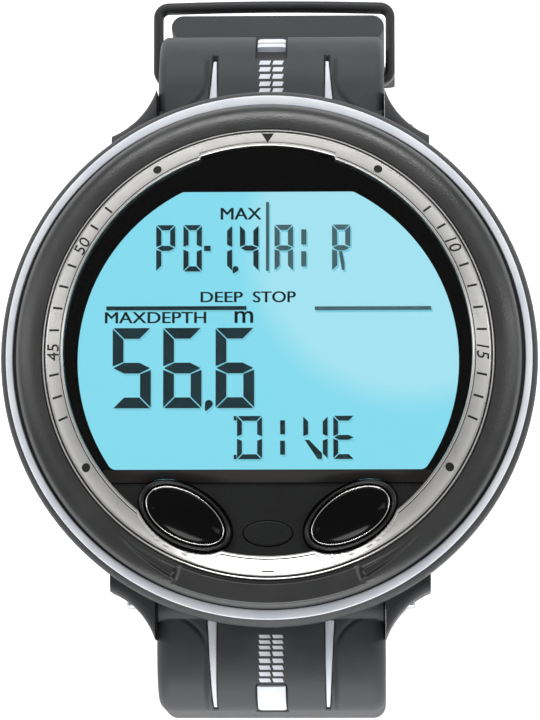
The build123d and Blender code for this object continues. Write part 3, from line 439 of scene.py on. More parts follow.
def inner_edge(angle):
    """The same edge, pushed out to the far side of each rim oval where a ray from the centre
    crosses it."""
    edge = plain_edge(angle)
    for side in (-1, 1):
        ray = np.stack([side * np.sin(angle), np.cos(angle)], -1)
        turn = np.array([[math.cos(button_tilt), math.sin(button_tilt)],
                         [-math.sin(button_tilt), math.cos(button_tilt)]])
        direction = (ray @ turn.T) / (rim_axes + 0.12)
        start = (-button_centre @ turn.T) / (rim_axes + 0.12)
        a = (direction ** 2).sum(-1)
        b = (direction * start).sum(-1)
        c = (start ** 2).sum() - 1
        room = b * b - a * c
        far = np.where(room > 0, (-b + np.sqrt(np.maximum(room, 0))) / a, 0)
        edge = np.maximum(edge, far)
    return edge


print("inner edge between", round(float(inner_edge(np.linspace(0, 6.28, 400)).min()), 2), "and",
      round(float(inner_edge(np.linspace(0, 6.28, 400)).max()), 2))

# %% Ring surface
ring_top, ring_foot = trim_high[2], trim_low[2]
ring_outer = trim_high[0]
lip_height = trim_low[2] + 0.55
face_width = ring_outer - lens_high[0] + 0.3


def cone_height(radius):
    """Height of the ring's satin face: a cone with a slight crown."""
    share = (ring_outer - radius) / face_width
    return lip_height + (ring_top - 0.1 - lip_height) * share + 0.55 * share * (1 - share)


def steel_profile(angle):
    """Rounded outer lip, a groove with a raised bead inside it, the satin cone, a second fine
    groove and the rounded inner edge, then the inner wall."""
    edge = inner_edge(angle)
    steps = np.concatenate([np.linspace(0, 1.0, 26), np.linspace(1.0, 2.3, 10)[1:],
                            np.linspace(2.3, 3.2, 24)[1:]])[None, :]
    radius = np.maximum(ring_outer - steps, edge)
    height = cone_height(radius)
    height = height - 0.2 * np.exp(-((steps - 0.42) / 0.09) ** 2)
    height = height + 0.07 * np.exp(-((steps - 0.66) / 0.08) ** 2)
    height = height - 0.22 * np.clip(1 - steps / 0.16, 0, 1) ** 2
    height = height - 0.1 * np.exp(-((radius - edge - 0.45) / 0.06) ** 2)
    to_edge = np.clip((radius - edge) / 0.2, 0, 1)
    height = height - 0.22 * (1 - np.sqrt(1 - (1 - to_edge) ** 2))
    low = np.full_like(angle, ring_foot)
    wall = height[:, -1:] - 0.55
    radii = np.concatenate([np.full_like(angle, ring_outer), radius, edge, edge], 1)
    heights = np.concatenate([low, height, wall, low], 1)
    return radii, heights


dress(ring_surface("steel_ring", steel_profile, 1080, 28), steel, "case", "steel", "trim_ring")

# %% [markdown]
# ## Marks on the ring
# Dots, ticks, numbers and the triangle are filled engravings: thin black pieces that lie just in
# the face of the cone. Numbers come from a text curve that is made a mesh and then wrapped round
# the ring, because a flat decal would float off the cone. Dark lines of the same black lie in the
# two grooves: painted shade where the grooves fall dark.

# %% Painted shade lines in the two grooves
black_ink_and_groove_shade = grained("black_enamel_and_painted_groove_shade", "121213", 0.5, 0.15, 0.2, ("0f0f10", "161617"),
                    (0.45, 0.55), Specular_IOR_Level=0.2)


def groove_shade_line(name, place, width, depth):
    """A flat-topped dark line round the ring: painted shade in a groove. place(angle) gives its
    radius, width and depth are its size across and down. It dives under the face where a button rim
    cuts it."""
    def profile(angle):
        radius = place(angle)
        beside_rim = inner_edge(angle) > radius - 0.4
        height = cone_height(radius) - 0.03 - 1.2 * beside_rim
        half = width / 2
        radii = np.concatenate([radius - half, radius + half, radius + half, radius - half], 1)
        heights = np.concatenate([height, height, height - depth, height - depth], 1)
        return radii, heights
    return dress(ring_surface(name, profile, 1080, 30), black_ink_and_groove_shade, "case", "black_print")


# painted shade: dark lines in the outer and the inner groove
groove_shade_line("outer_groove_shade_line", lambda angle: np.full_like(angle, ring_outer - 0.42), 0.16, 0.1)
groove_shade_line("inner_groove_shade_line", lambda angle: plain_edge(angle) + 0.45, 0.12, 0.06)

# %% Wrap flat outlines onto the ring
mid_radius = lens_high[0] + 1.2


def read_points(mesh):
    """Vertex places of a mesh as an array."""
    flat = np.empty(len(mesh.vertices) * 3)
    mesh.vertices.foreach_get("co", flat)
    return flat.reshape(-1, 3)


def write_points(mesh, places):
    """Puts vertex places back into a mesh."""
    mesh.vertices.foreach_set("co", np.ascontiguousarray(places).ravel())
    mesh.update()


def on_ring(mesh, clock_angle, lift=0.03):
    """Bends a flat mesh (millimetres, z as thickness) so that its middle sits on the ring's face
    at that angle. x runs clockwise along the ring and y outwards."""
    flat = read_points(mesh)
    radius = mid_radius + flat[:, 1]
    angle = clock_angle + flat[:, 0] / mid_radius
    height = cone_height(radius) + lift + flat[:, 2]
    write_points(mesh, np.stack([radius * np.sin(angle), radius * np.cos(angle), height], -1) * 0.001)


def flat_text(name, words, height, thick=0.04, slant=0.0):
    """Text as a closed mesh in millimetres, centred, with its capitals height tall."""
    curve = bpy.data.curves.new(name, "FONT")
    curve.body = words
    curve.size = height * 1.38
    curve.align_x, curve.align_y = "CENTER", "CENTER"
    curve.extrude = thick / 2
    curve.shear = slant
    curve.resolution_u = 6
    holder = bpy.data.objects.new(name + "_curve", curve)
    bpy.context.scene.collection.objects.link(holder)
    bpy.context.view_layer.update()
    mesh = bpy.data.meshes.new_from_object(holder)
    mesh.name = name
    bpy.data.objects.remove(holder)
    flat = read_points(mesh)
    flat[:, :2] -= (flat[:, :2].min(0) + flat[:, :2].max(0)) / 2
    write_points(mesh, flat)
    return mesh


def merged(name, meshes):
    """Several meshes joined into one object, doubles merged."""
    work = bmesh.new()
    for mesh in meshes:
        work.from_mesh(mesh)
        bpy.data.meshes.remove(mesh)
    bmesh.ops.remove_doubles(work, verts=work.verts, dist=1e-8)
    mesh = bpy.data.meshes.new(name)
    work.to_mesh(mesh)
    work.free()
    piece = bpy.data.objects.new(name, mesh)
    bpy.context.scene.collection.objects.link(piece)
    return piece


def flat_plate(outline, thick=0.04):
    """A small plate about z = 0 as a mesh in millimetres."""
    piece = plates("scrap", [np.asarray(outline)], -thick / 2, thick / 2)
    mesh = piece.data
    bpy.data.objects.remove(piece)
    write_points(mesh, read_points(mesh) * 1000)
    return mesh


# %% Numbers, ticks, dots and the triangle
marks = []
numbers = {270: "45", 300: "50", 60: "10", 90: "15"}
for degrees, words in numbers.items():
    mesh = flat_text("number_" + words, words, 1.8, slant=0.1)
    on_ring(mesh, math.radians(degrees))
    marks.append(mesh)
for minute in range(60):
    degrees = minute * 6
    beside_number = min(abs(degrees - place) for place in numbers) < 5
    in_scale = 48 <= degrees <= 108 or 252 <= degrees <= 312
    if in_scale and not beside_number:
        mesh = flat_plate([(-0.15, -0.7), (0.15, -0.7), (0.15, 0.7), (-0.15, 0.7)])
        on_ring(mesh, math.radians(degrees))
        marks.append(mesh)
for degrees in (-122.5, -31, 31, 122.5):
    turn = np.linspace(0, 2 * np.pi, 24, endpoint=False)
    mesh = flat_plate(np.stack([0.6 * np.cos(turn), 0.6 * np.sin(turn)], -1))
    on_ring(mesh, math.radians(degrees))
    marks.append(mesh)
mesh = flat_plate([(-0.95, 1.15), (0.0, -0.6), (0.95, 1.15)])
on_ring(mesh, 0)
marks.append(mesh)
mesh = flat_plate([(-0.85, 0.52), (0.85, 0.52), (0.85, 0.7), (-0.85, 0.7)])
on_ring(mesh, math.pi)
marks.append(mesh)
dress(merged("ring_marks", marks), black_ink_and_groove_shade, "case", "black_print")

# %% [markdown]
# ## Display
# The real display is a liquid crystal cell: a pale blue reflective backing, with dark segments that
# float a little above it and drop a soft shadow. Here the backing glows, a painted glow that stands in
# for the light it reflects. A picture would do for one view, but real plates at two heights give the
# parallax from every side; their shadow is painted on the sheet.

# %% Glowing sheet: a painted glow
glow, tree, shader = finish("painted_glow_liquid_crystal_sheet", "0a2026", 0.5, Emission_Strength=1.0,
                            Specular_IOR_Level=0.1)
place = node(tree, "ShaderNodeTexCoord").outputs["Object"]
# painted reflection: the glow is brighter in one wide round patch towards two o'clock, where a glare
# lies on the glass
reach = node(tree, "ShaderNodeVectorMath", [(0, place)], operation="DISTANCE")
reach.inputs[1].default_value = (0.020, 0.016, 0.0215)
painted_glare_disc = node(tree, "ShaderNodeMapRange", [("Value", reach.outputs["Value"])],
            interpolation_type="SMOOTHSTEP", From_Min=0.0195, From_Max=0.0250, To_Min=1.0, To_Max=0.0)
cloud = node(tree, "ShaderNodeTexNoise", [("Vector", place)], Scale=1000 / 16, Detail=2.0)
blend = node(tree, "ShaderNodeMath", [(0, cloud.outputs["Fac"]), (2, painted_glare_disc.outputs["Result"])],
             operation="MULTIPLY_ADD")
blend.inputs[1].default_value = 0.08
tone = node(tree, "ShaderNodeValToRGB", [("Fac", blend.outputs["Value"])])
tone.color_ramp.elements[0].color = linear("83dbee")
tone.color_ramp.elements[1].color = linear("a3e3f2")
tree.links.new(tone.outputs["Color"], shader.inputs["Emission Color"])

window_radius, window_top, window_bottom, window_drop = 26.4, 22.6, -16.1, -1.0


def window_outline(grow, count=200):
    """Circle cut by two chords, with small rounded corners, as x, y points."""
    turn = np.linspace(0, 2 * np.pi, count, endpoint=False)
    x = (window_radius + grow) * np.cos(turn)
    y = window_drop + (window_radius + grow) * np.sin(turn)
    y = np.clip(y, window_bottom - grow, window_top + grow)
    points = np.stack([x, y], -1)
    for _ in range(6):
        points = 0.25 * np.roll(points, 1, 0) + 0.5 * points + 0.25 * np.roll(points, -1, 0)
    return points


sheet_z = mask_low[2] - 0.22
dress(plates("painted_glow_sheet", [window_outline(0.4)], sheet_z - 0.05, sheet_z), glow, "case",
      "display")
# the cell's glass takes the same painted glow
frame["nodes"]["lcd_glass"].data.materials.clear()
frame["nodes"]["lcd_glass"].data.materials.append(glow)

# %% [markdown]
# ## Segments
# Numbers on such a display are made of bars whose ends are mitred where they meet. One function
# gives the bars of a sign in its box, one table says which bars a sign needs.

# %% Bars and signs
bars_of_sign = {
    "0": "abcdef", "1": "bc", "4": "fgbc", "5": "afgcd", "6": "afedcg", "P": "abfeg",
    "A": "abcefg", "I": "il", "R": "abfegm", "D": "abcdef", "V": "fbcv", "E": "adefg",
}


def sign_bars(left, right, bottom, top, width, gap):
    """Every bar of a sign: outlines by letter. a, d, f, e, b, c are trapezoids with mitred ends
    round the box, g is a six-sided bar across the middle, i and l stand in the middle, m leans
    from the middle and v from the left edge to the lower right corner."""
    mid_x, mid_y, half = (left + right) / 2, (bottom + top) / 2, width / 2

    def mirror_y(outline):
        return [(x, bottom + top - y) for x, y in outline]

    def mirror_x(outline):
        return [(left + right - x, y) for x, y in outline]

    a = [(left + gap, top), (right - gap, top), (right - width - gap, top - width),
         (left + width + gap, top - width)]
    f = [(left, top - gap), (left + width, top - width - gap), (left + width, mid_y + half + gap),
         (left, mid_y + gap + 0.2 * half)]
    g = [(left + gap, mid_y), (left + width + gap, mid_y + half), (right - width - gap, mid_y + half),
         (right - gap, mid_y), (right - width - gap, mid_y - half), (left + width + gap, mid_y - half)]
    upright = [(mid_x - half, top - 0.9 * width), (mid_x + half, top - 0.9 * width),
               (mid_x + half, mid_y + gap + half), (mid_x - half, mid_y + gap + half)]
    lean = [(mid_x - half, mid_y - half - gap), (mid_x + 0.4 * half, mid_y - half - gap),
            (right - width - gap, bottom + 1.6 * width), (right - width - gap, bottom + 0.2 * width),
            (right - width - gap - half, bottom + 0.2 * width)]
    slope = [(left + 0.3 * width, mid_y - half), (left + 1.2 * width, mid_y - half),
             (right - width - gap, bottom + 1.2 * width), (right - width - gap, bottom),
             (right - 1.9 * width - gap, bottom)]
    return {"a": a, "d": mirror_y(a), "f": f, "e": mirror_y(f), "b": mirror_x(f),
            "c": mirror_x(mirror_y(f)), "g": g, "i": upright, "l": mirror_y(upright), "m": lean,
            "v": slope}


def sign(letter, left, right, bottom, top, width, gap=0.1):
    """Outlines of the bars that make one sign."""
    bars = sign_bars(left, right, bottom, top, width, gap)
    return [bars[key] for key in bars_of_sign[letter]]


def comma(left, right, bottom, top):
    """Outline of a decimal comma: a round head that runs down into a tail at its left."""
    turn = np.linspace(-0.3 * np.pi, np.pi, 12)
    radius, centre_y = (right - left) / 2, top - (right - left) / 2
    head = [(left + radius + radius * math.cos(t), centre_y + radius * math.sin(t)) for t in turn]
    return head + [(left, bottom + 0.1), (left + 0.3 * radius, bottom)]


# %% Lay out the display
big_top, big_bottom, big_bar = 3.62, -7.55, 1.5
row_top, row_bottom, row_bar = 18.0, 11.5, 0.72
end_top, end_bottom, end_bar = -8.65, -14.65, 0.68
dark_signs = []
for letter, left, right in (("5", -21.55, -16.24), ("6", -14.54, -9.22), ("6", -7.28, -1.93)):
    dark_signs += sign(letter, left, right, big_bottom, big_top, big_bar)
dark_signs.append(comma(-8.76, -7.65, -7.97, -6.4))
for letter, left, right in (("P", -15.55, -12.9), ("0", -11.77, -9.2), ("1", -7.3, -4.98),
                            ("4", -3.92, -1.33)):
    dark_signs += sign(letter, left, right, row_bottom, row_top, row_bar)
dark_signs.append([(-8.9, 14.35), (-7.98, 14.35), (-7.98, 15.1), (-8.9, 15.1)])
dark_signs.append(comma(-4.93, -4.1, 11.2, 12.25))
for letter, left, right in (("D", -4.3, -0.83), ("I", 0.2, 3.8), ("V", 4.85, 8.23),
                            ("E", 9.0, 11.92)):
    dark_signs += sign(letter, left, right, end_bottom, end_top, end_bar)
for y in (end_top, end_bottom + 0.62):
    dark_signs.append([(-4.75, y - 0.62), (-4.35, y - 0.62), (-4.35, y), (-4.75, y)])
dark_signs.append([(-22.47, 6.1), (-3.0, 6.1), (-3.0, 6.66), (-22.47, 6.66)])
pale_signs = []
for letter, left, right in (("A", 0.89, 3.47), ("I", 3.6, 6.3), ("R", 8.87, 11.42)):
    pale_signs += sign(letter, left, right, row_bottom, row_top, row_bar)
pale_signs.append([(6.47, 6.03), (22.6, 6.03), (22.6, 6.57), (6.47, 6.57)])
pale_signs.append([(-0.3, 11.56), (0.13, 11.56), (0.13, 21.2), (-0.3, 21.2)])

# %% Ink of the segments: polarised dye, nearly black where it is fully switched
ink = grained("switched_liquid_crystal", "11373e", 0.6, 0.12, 0.1, ("0f333a", "133c44"),
              (0.55, 0.65), Specular_IOR_Level=0.1)
# pale segments: a pale tone of their own, plus a faint painted glow
pale_ink = grained("half_switched_liquid_crystal_with_painted_glow", "3f6268", 0.6, 0.12, 0.1, ("3b5d63", "44686e"),
                   (0.55, 0.65), Specular_IOR_Level=0.1, Emission_Strength=0.12,
                   Emission_Color=linear("6f9299"))
segment_z = mask_low[2] - 0.06
dress(plates("display_segments", dark_signs, segment_z - 0.03, segment_z), ink, "case",
      "black_print")
dress(plates("display_pale_segments", pale_signs, segment_z - 0.03, segment_z), pale_ink, "case",
      "black_print")

# %% Small printed words of the display
def word_in_box(text, left, right, bottom, top):
    """Text stretched to fill a box, in metres at the segments' height."""
    mesh = flat_text("word", text, top - bottom)
    flat = read_points(mesh)
    low, high = flat[:, :2].min(0), flat[:, :2].max(0)
    flat[:, :2] = (flat[:, :2] - low) / (high - low) * (right - left, top - bottom) + (left, bottom)
    flat[:, 2] += segment_z - 0.03
    write_points(mesh, flat * 0.001)
    return mesh


word_boxes = (("MAX", -6.55, -0.95, 18.75, 20.4), ("DEEP", -9.32, -3.54, 7.2, 8.65),
              ("STOP", -2.07, 3.8, 7.15, 8.7), ("MAXDEPTH", -22.6, -8.62, 4.3, 5.86),
              ("m", -4.61, -2.1, 4.3, 5.95))
words = []
for text, left, right, bottom, top in word_boxes:
    # two copies a stroke's tenth apart make the strokes bolder without breaking their corners
    for nudge in (-0.05, 0.05):
        words.append(word_in_box(text, left + nudge, right + nudge, bottom, top))
dress(merged("display_words", words), ink, "case", "black_print")

# %% [markdown]
# ## Soft shadow of the segments
# Light that comes through the glass throws the segments' shadow on the lit sheet. The sheet glows,
# so a rendered shadow would vanish: a faint blue copy of the bars lies on the sheet, a little lower
# and to the right, as the real shadow does.

# %% Shadow bars
shade = grained("shadow_on_lit_sheet", "0a2026", 0.6, 0.3, 0.05, ("0a2026", "0c242a"), (0.55, 0.65),
                Emission_Strength=1.0, Specular_IOR_Level=0.1, Emission_Color=linear("79cbdd"))
shifted = [np.asarray(outline) + (0.2, -0.28) for outline in dark_signs + pale_signs]
dress(plates("segment_shadow", shifted, sheet_z - 0.02, sheet_z + 0.015), shade, "case",
      "black_print")

# %% [markdown]
# ## Bevelled edge of the glass
# The glass is cut straight below the display and its edge is ground to a bevel, which looks like a
# dull brown-grey band. A glass shader would stay clear there, so a thin ground band lies on it and
# stops at the button rims.

# %% Ground band
ground_glass = grained("ground_glass_edge", "1f1d1b", 0.42, 0.2, 0.4, ("1b1918", "24211f"),
                       (0.38, 0.5), Specular_IOR_Level=0.35)
chord_y, bevel_width, bevel_drop = lens_low[1], 1.6, 1.0
across = np.linspace(-22.6, 22.6, 240)


def top_of_rims(x):
    """Upper edge of the two rim ovals at x, or far below where there is none. An oval with half
    axes a, b tilted by t: solve the quadratic of its height at x for the larger root."""
    a, b, t = rim_axes[0] + 0.15, rim_axes[1] + 0.15, button_tilt
    dx = np.abs(x) - button_centre[0]
    p = math.sin(t) ** 2 / a ** 2 + math.cos(t) ** 2 / b ** 2
    q = 2 * dx * math.sin(t) * math.cos(t) * (1 / a ** 2 - 1 / b ** 2)
    r = dx ** 2 * (math.cos(t) ** 2 / a ** 2 + math.sin(t) ** 2 / b ** 2) - 1
    room = q * q - 4 * p * r
    return np.where(room > 0, button_centre[1] + (-q + np.sqrt(np.maximum(room, 0))) / (2 * p), -99)


low_edge = np.maximum(chord_y, top_of_rims(across))
high_edge = np.full_like(across, chord_y + bevel_width + 0.05)
share = np.linspace(0, 1, 5)[:, None]
band_y = low_edge + (high_edge - low_edge) * share
band_z = lens_high[2] + 0.03 - bevel_drop * (chord_y + bevel_width - np.minimum(
    band_y, chord_y + bevel_width)) / bevel_width
upper = np.stack([np.broadcast_to(across, band_y.shape), band_y, band_z], -1)
loops = np.concatenate([upper, (upper - (0, 0, 0.05))[::-1]])
dress(tube_surface("ground_edge_band", loops.transpose(1, 0, 2), 30), ground_glass, "case",
      "black_print")

# %% [markdown]
# ## Buttons
# Each button is a polished black oval in a rounded rim. The rim is a closed profile carried along
# the oval; the cap is a stack of shrinking ovals that dips in the middle, with a thin bright bead
# round its edge that catches the light. All ovals are a little fuller at their outer end.

# %% Button surfaces
oval_turn = np.linspace(0, 2 * np.pi, 144, endpoint=False)
fuller = 0.06


def oval_ring(side, profile, egg=fuller):
    """A closed profile carried round a button oval. profile lists (long axis, short axis, z)."""
    loops = []
    for long_axis, short_axis, z in profile:
        flat = oval(side, (long_axis, short_axis), oval_turn, egg)
        loops.append(np.column_stack([flat, np.full(len(flat), z)]))
    return np.stack(loops)


def closed_loops(name, sections, smooth_angle):
    """A ring-shaped solid from closed loops that close on themselves as well."""
    rows, columns, _ = sections.shape
    faces = grid_faces(rows, columns, close_rows=True, close_columns=True)
    return finish_mesh(name, sections.reshape(-1, 3), faces, smooth_angle)


def rounded_rim(outer, inner, low, high, count=16):
    """Half-round crest between an outer and an inner oval, closed below."""
    turn = np.linspace(0, np.pi, count)
    share = (1 - np.cos(turn)) / 2
    lift = np.sin(turn) ** 0.7
    rows = [(outer[0] + (inner[0] - outer[0]) * s, outer[1] + (inner[1] - outer[1]) * s,
             high - 0.7 + 0.7 * up) for s, up in zip(share, lift)]
    return [(outer[0], outer[1], low)] + rows + [(inner[0], inner[1], low)]


rim_black = grained("satin_moulded_rim", "0c0c0d", 0.28, 0.3, 0.15, ("0a0a0b", "101011"),
                    (0.24, 0.34))
outer_rim = rim_axes - (0.05, 0.25)
for side, hand in ((-1, "left"), (1, "right")):
    crest = oval_ring(side, rounded_rim(outer_rim, cap_axes + 0.2, rim_low[2], rim_high[2]))
    dress(closed_loops(hand + "_rim_crest", crest, 50), rim_black, "case", "black_gloss",
          hand + "_button_rim")
    edge = np.linspace(0, 1, 8)
    dish = [(cap_axes[0] - 0.02, cap_axes[1] - 0.02, cap_low[2])]
    dish += [(cap_axes[0] - 0.45 * s, cap_axes[1] - 0.45 * s,
              cap_high[2] - 0.5 + 0.45 * math.sin(s * math.pi / 2)) for s in edge]
    dish += [((cap_axes[0] - 0.5) * s, (cap_axes[1] - 0.5) * s,
              cap_high[2] - 0.05 - 0.75 * (1 - s ** 2)) for s in (0.97, 0.9, 0.8, 0.65, 0.5, 0.3, 0.1)]
    dress(tube_surface(hand + "_cap_dish", oval_ring(side, dish), 50), gloss_black,
          hand + "_button", "black_gloss", hand + "_button_cap")
    bead_turn = np.linspace(0, 2 * np.pi, 10, endpoint=False)
    bead = [(cap_axes[0] - 0.13 + 0.1 * math.cos(t), cap_axes[1] - 0.13 + 0.1 * math.cos(t),
             cap_high[2] - 0.12 + 0.12 * math.sin(t)) for t in bead_turn]
    dress(closed_loops(hand + "_cap_bead", oval_ring(side, bead), 80), bright_steel,
          hand + "_button", "steel")

frame["nodes"]["button_panel"].data.materials[0] = panel_black
frame["nodes"]["interface_window"].data.materials[0] = panel_black
frame["nodes"]["display_mask"].data.materials[0] = mask_black

# %% [markdown]
# ## Strap
# The strap is one rubber band that bends twice. Its middle line is straight runs joined by arcs;
# at each step along it a cross-section stands square to the line: a flat band with rounded edges,
# cut by two tapering slits, a shallow curved crease, and a recess for the light rubber in the
# middle. The relief is a height field over the distance along the band and the place across it.

# %% Middle line of a strap
def bent_line(points, radii, step):
    """Positions and headings along straight runs joined by tangent arcs, about step apart."""
    points = np.asarray(points, float)
    places, headings = [], []

    def run(start, end):
        count = max(int(np.linalg.norm(end - start) / step), 1)
        share = np.linspace(0, 1, count, endpoint=False)[:, None]
        places.append(start + (end - start) * share)
        heading = (end - start) / np.linalg.norm(end - start)
        headings.append(np.broadcast_to(heading, (count, 2)))

    last = points[0]
    for index, radius in enumerate(radii):
        before = points[index + 1] - points[index]
        after = points[index + 2] - points[index + 1]
        before, after = before / np.linalg.norm(before), after / np.linalg.norm(after)
        turn = math.atan2(before[0] * after[1] - before[1] * after[0], before @ after)
        reach = radius * math.tan(abs(turn) / 2)
        start = points[index + 1] - before * reach
        run(last, start)
        centre = start + radius * math.copysign(1, turn) * np.array([-before[1], before[0]])
        count = max(int(radius * abs(turn) / step), 6)
        swing = np.linspace(0, turn, count, endpoint=False)
        spoke = start - centre
        places.append(np.stack([centre[0] + spoke[0] * np.cos(swing) - spoke[1] * np.sin(swing),
                                centre[1] + spoke[0] * np.sin(swing) + spoke[1] * np.cos(swing)], -1))
        headings.append(np.stack([before[0] * np.cos(swing) - before[1] * np.sin(swing),
                                  before[0] * np.sin(swing) + before[1] * np.cos(swing)], -1))
        last = points[index + 1] + after * reach
    run(last, points[-1])
    places.append(points[-1:])
    headings.append(headings[-1][-1:])
    places, headings = np.concatenate(places), np.concatenate(headings)
    steps = np.linalg.norm(np.diff(places, axis=0), axis=1)
    return places, headings, np.concatenate([[0], np.cumsum(steps)])


half_width = strap_half_width + 0.12     # fills most of the play between strap and lugs
half_thick = 1.9
pin_y, pin_z = (pin_low[1] + pin_high[1]) / 2, (pin_low[2] + pin_high[2]) / 2
upper_points = [(pin_y, pin_z), (46.5, 6.2), (46.5, -18.3)]
lower_points = [(-pin_y, pin_z), (-46.7, 6.2), (-48.5, -48.1), (51.5, -48.1), (55.3, -28.5)]
upper_bends, lower_bends = [7.0], [7.0, 30.0, 20.0]
print("strap half width", half_width, "pins at y", round(pin_y, 2))

# %% Relief of the outer face
slit_near, slit_far = 7.65, 8.92     # a slit's two edges at its start, from the middle
block_half = 2.0                     # half width of the light blocks


def slit_edges(distance, start, end):
    """Inner and outer edge of a slit, as distances from the middle: the slit is 1.25 wide at its
    start and narrows to 0.5, its inner edge almost straight."""
    share = np.clip((distance - start) / (end - start), 0, 1)
    return slit_near + 0.1 * share, slit_far - 0.68 * share


def crease_place(distance, start):
    """The crease that leaves the slit's outer edge and curves out towards the case."""
    lead = np.clip((start + 4.0 - distance) / 6.0, 0, 1)
    return 9.15 + 6.5 * lead ** 2.2


def strap_relief(slits, recess, notch=0.9):
    """Depth cut from the outer face. slits and recess are (start, end) along the band, notch is
    how far a slit runs on past its light strip."""
    def relief(distance, x):
        near, far = slit_edges(distance, *slits)
        away = np.abs(x)
        slit = bump_between(away, near - 0.06, far + 0.06, 0.16)
        cut = 1.0 * slit * bump_between(distance, slits[0] - 0.5, slits[1] + notch, 0.3)
        crease = np.exp(-((away - crease_place(distance, slits[0])) / 0.28) ** 2)
        cut = cut + 0.32 * crease * bump_between(distance, slits[0] - 3.5, slits[1] + 0.5, 1.0)
        middle = bump_between(away, -1, block_half + 0.2, 0.16)
        middle = middle * bump_between(distance, *recess, 0.3)
        return np.maximum(cut, 1.1 * middle)
    return relief


# %% Cross-sections along the band
def section(corner, count_face=150):
    """Loop round a flat band: for each point its x, its level (+1 outer face, -1 inner face), and
    1 where it lies on the outer face. corner is the width of the rounded edges."""
    face_x = (half_width - corner) * np.linspace(-1, 1, count_face)
    turn = np.linspace(0, np.pi / 2, 8)[1:]
    right_x, right_level = half_width - corner + corner * np.sin(turn), np.cos(turn)
    inner_x = (half_width - corner) * np.linspace(1, -1, 30)
    x = np.concatenate([face_x, right_x, right_x[::-1][1:], inner_x, -right_x, -right_x[::-1][1:]])
    level = np.concatenate([np.ones(count_face), right_level, -right_level[::-1][1:],
                            -np.ones(30), -right_level, right_level[::-1][1:]])
    outer = np.zeros(len(x))
    outer[:count_face] = 1
    return x, level, outer


def strap_surface(name, points, radii, outward, relief, thickness, corner):
    """Sections along the bent line, cut by relief(distance, x). thickness(distance, length) is
    the share of the full thickness that is left at each distance."""
    places, headings, distance = bent_line(points, radii, 0.3)
    normal = np.stack([-headings[:, 1], headings[:, 0]], -1) * outward
    x, level, outer = section(corner)
    thick = thickness(distance, distance[-1])[:, None]
    offset = level[None, :] * half_thick * thick - outer[None, :] * relief(distance[:, None],
                                                                          x[None, :])
    wide = 1 - (1 - thick) * 0.03
    y = places[:, :1] + normal[:, :1] * offset
    z = places[:, 1:] + normal[:, 1:] * offset
    return tube_surface(name, np.stack([x[None, :] * wide, y, z], -1), 40)


def soft_tail(distance, length):
    """Thickness share that rounds the tail's end off over its last 0.7 mm."""
    near = np.clip(1 - (length - distance) / 0.7, 0, 1)
    return 1 - 0.12 * (1 - np.sqrt(1 - near ** 2))


def full(distance, length):
    """Full thickness all along, for a strap that ends in a barrel."""
    return np.ones_like(distance)


upper_slits, upper_recess = (3.0, 9.3), (9.9, 15.4)
lower_slits, lower_recess = (2.6, 15.2), (11.0, 19.5)
upper_band = strap_surface("upper_band", upper_points, upper_bends, 1,
                           strap_relief(upper_slits, upper_recess), full, 1.2)
lower_band = strap_surface("lower_band", lower_points, lower_bends, -1,
                           strap_relief(lower_slits, lower_recess), soft_tail, 1.8)

# %% [markdown]
# ## Barrels, slots and holes of the strap
# Each pin turns in a rolled barrel, and slots pass through the bends. A barrel is a thick-walled
# tube; slots and holes are cut with a boolean on plain blocks, which keeps crisp moulded edges.

# %% Barrel and cutters
def block(name, low, high):
    """A plain box used as a cutter."""
    x, y, z = zip(low, high)
    corner = [(a, b, c) for a in x for b in y for c in z]
    faces = [[0, 1, 3, 2], [4, 6, 7, 5], [0, 4, 5, 1], [2, 3, 7, 6], [0, 2, 6, 4], [1, 5, 7, 3]]
    return finish_mesh(name, corner, faces)


def barrel(name, centre_y, centre_z, outer, inner, half):
    """Thick-walled tube along X with rounded rims."""
    turn = np.linspace(0, 2 * np.pi, 64, endpoint=False)
    rows = [(-half + 0.3, outer), (-half, outer - 0.3), (-half, inner), (half, inner),
            (half, outer - 0.3), (half - 0.3, outer)]
    points = np.stack([np.stack([np.full(64, x), centre_y + r * np.cos(turn),
                                 centre_z + r * np.sin(turn)], -1) for x, r in rows])
    return closed_loops(name, points, 40)


def boolean(piece, other, operation):
    """Applies one boolean to the piece's mesh and removes the other object."""
    step = piece.modifiers.new("cut", "BOOLEAN")
    step.operation, step.object, step.solver = operation, other, "EXACT"
    bpy.context.view_layer.update()
    result = bpy.data.meshes.new_from_object(piece.evaluated_get(
        bpy.context.evaluated_depsgraph_get()))
    piece.modifiers.remove(step)
    piece.data = result
    bpy.data.objects.remove(other)


def pin_hole(name, centre_y, centre_z, radius):
    """A long round bar along X used as a cutter."""
    turn = np.linspace(0, 2 * np.pi, 48, endpoint=False)
    loops = [np.stack([np.full(48, x), centre_y + radius * np.cos(turn),
                       centre_z + radius * np.sin(turn)], -1) for x in (-30.0, 30.0)]
    return tube_surface(name, np.stack(loops))


buckle_y, buckle_z = upper_points[-1]
pin_roll, pin_bore = 3.0, 1.05
buckle_roll, buckle_bore = 2.6, 0.85
first_hole, hole_pitch, hole_count = -10.0, 8.0, 6
upper_rolls = ((pin_y, pin_z, pin_roll, pin_bore), (buckle_y, buckle_z, buckle_roll, buckle_bore))
lower_rolls = ((-pin_y, pin_z, pin_roll, pin_bore),)
for band, rolls in ((upper_band, upper_rolls), (lower_band, lower_rolls)):
    for y, z, outer, bore in rolls:
        boolean(band, barrel("roll", y, z, outer, bore, half_width), "UNION")
    for y, z, outer, bore in rolls:
        boolean(band, pin_hole("bar", y, z, bore), "DIFFERENCE")
boolean(upper_band, block("cut", (-1.3, 38, -21.3), (1.3, 51, -15.4)), "DIFFERENCE")
for hole in range(hole_count):
    y = first_hole + hole_pitch * hole
    boolean(lower_band, block("cut", (-1.8, y - 1.2, -52), (1.8, y + 1.2, -44)), "DIFFERENCE")
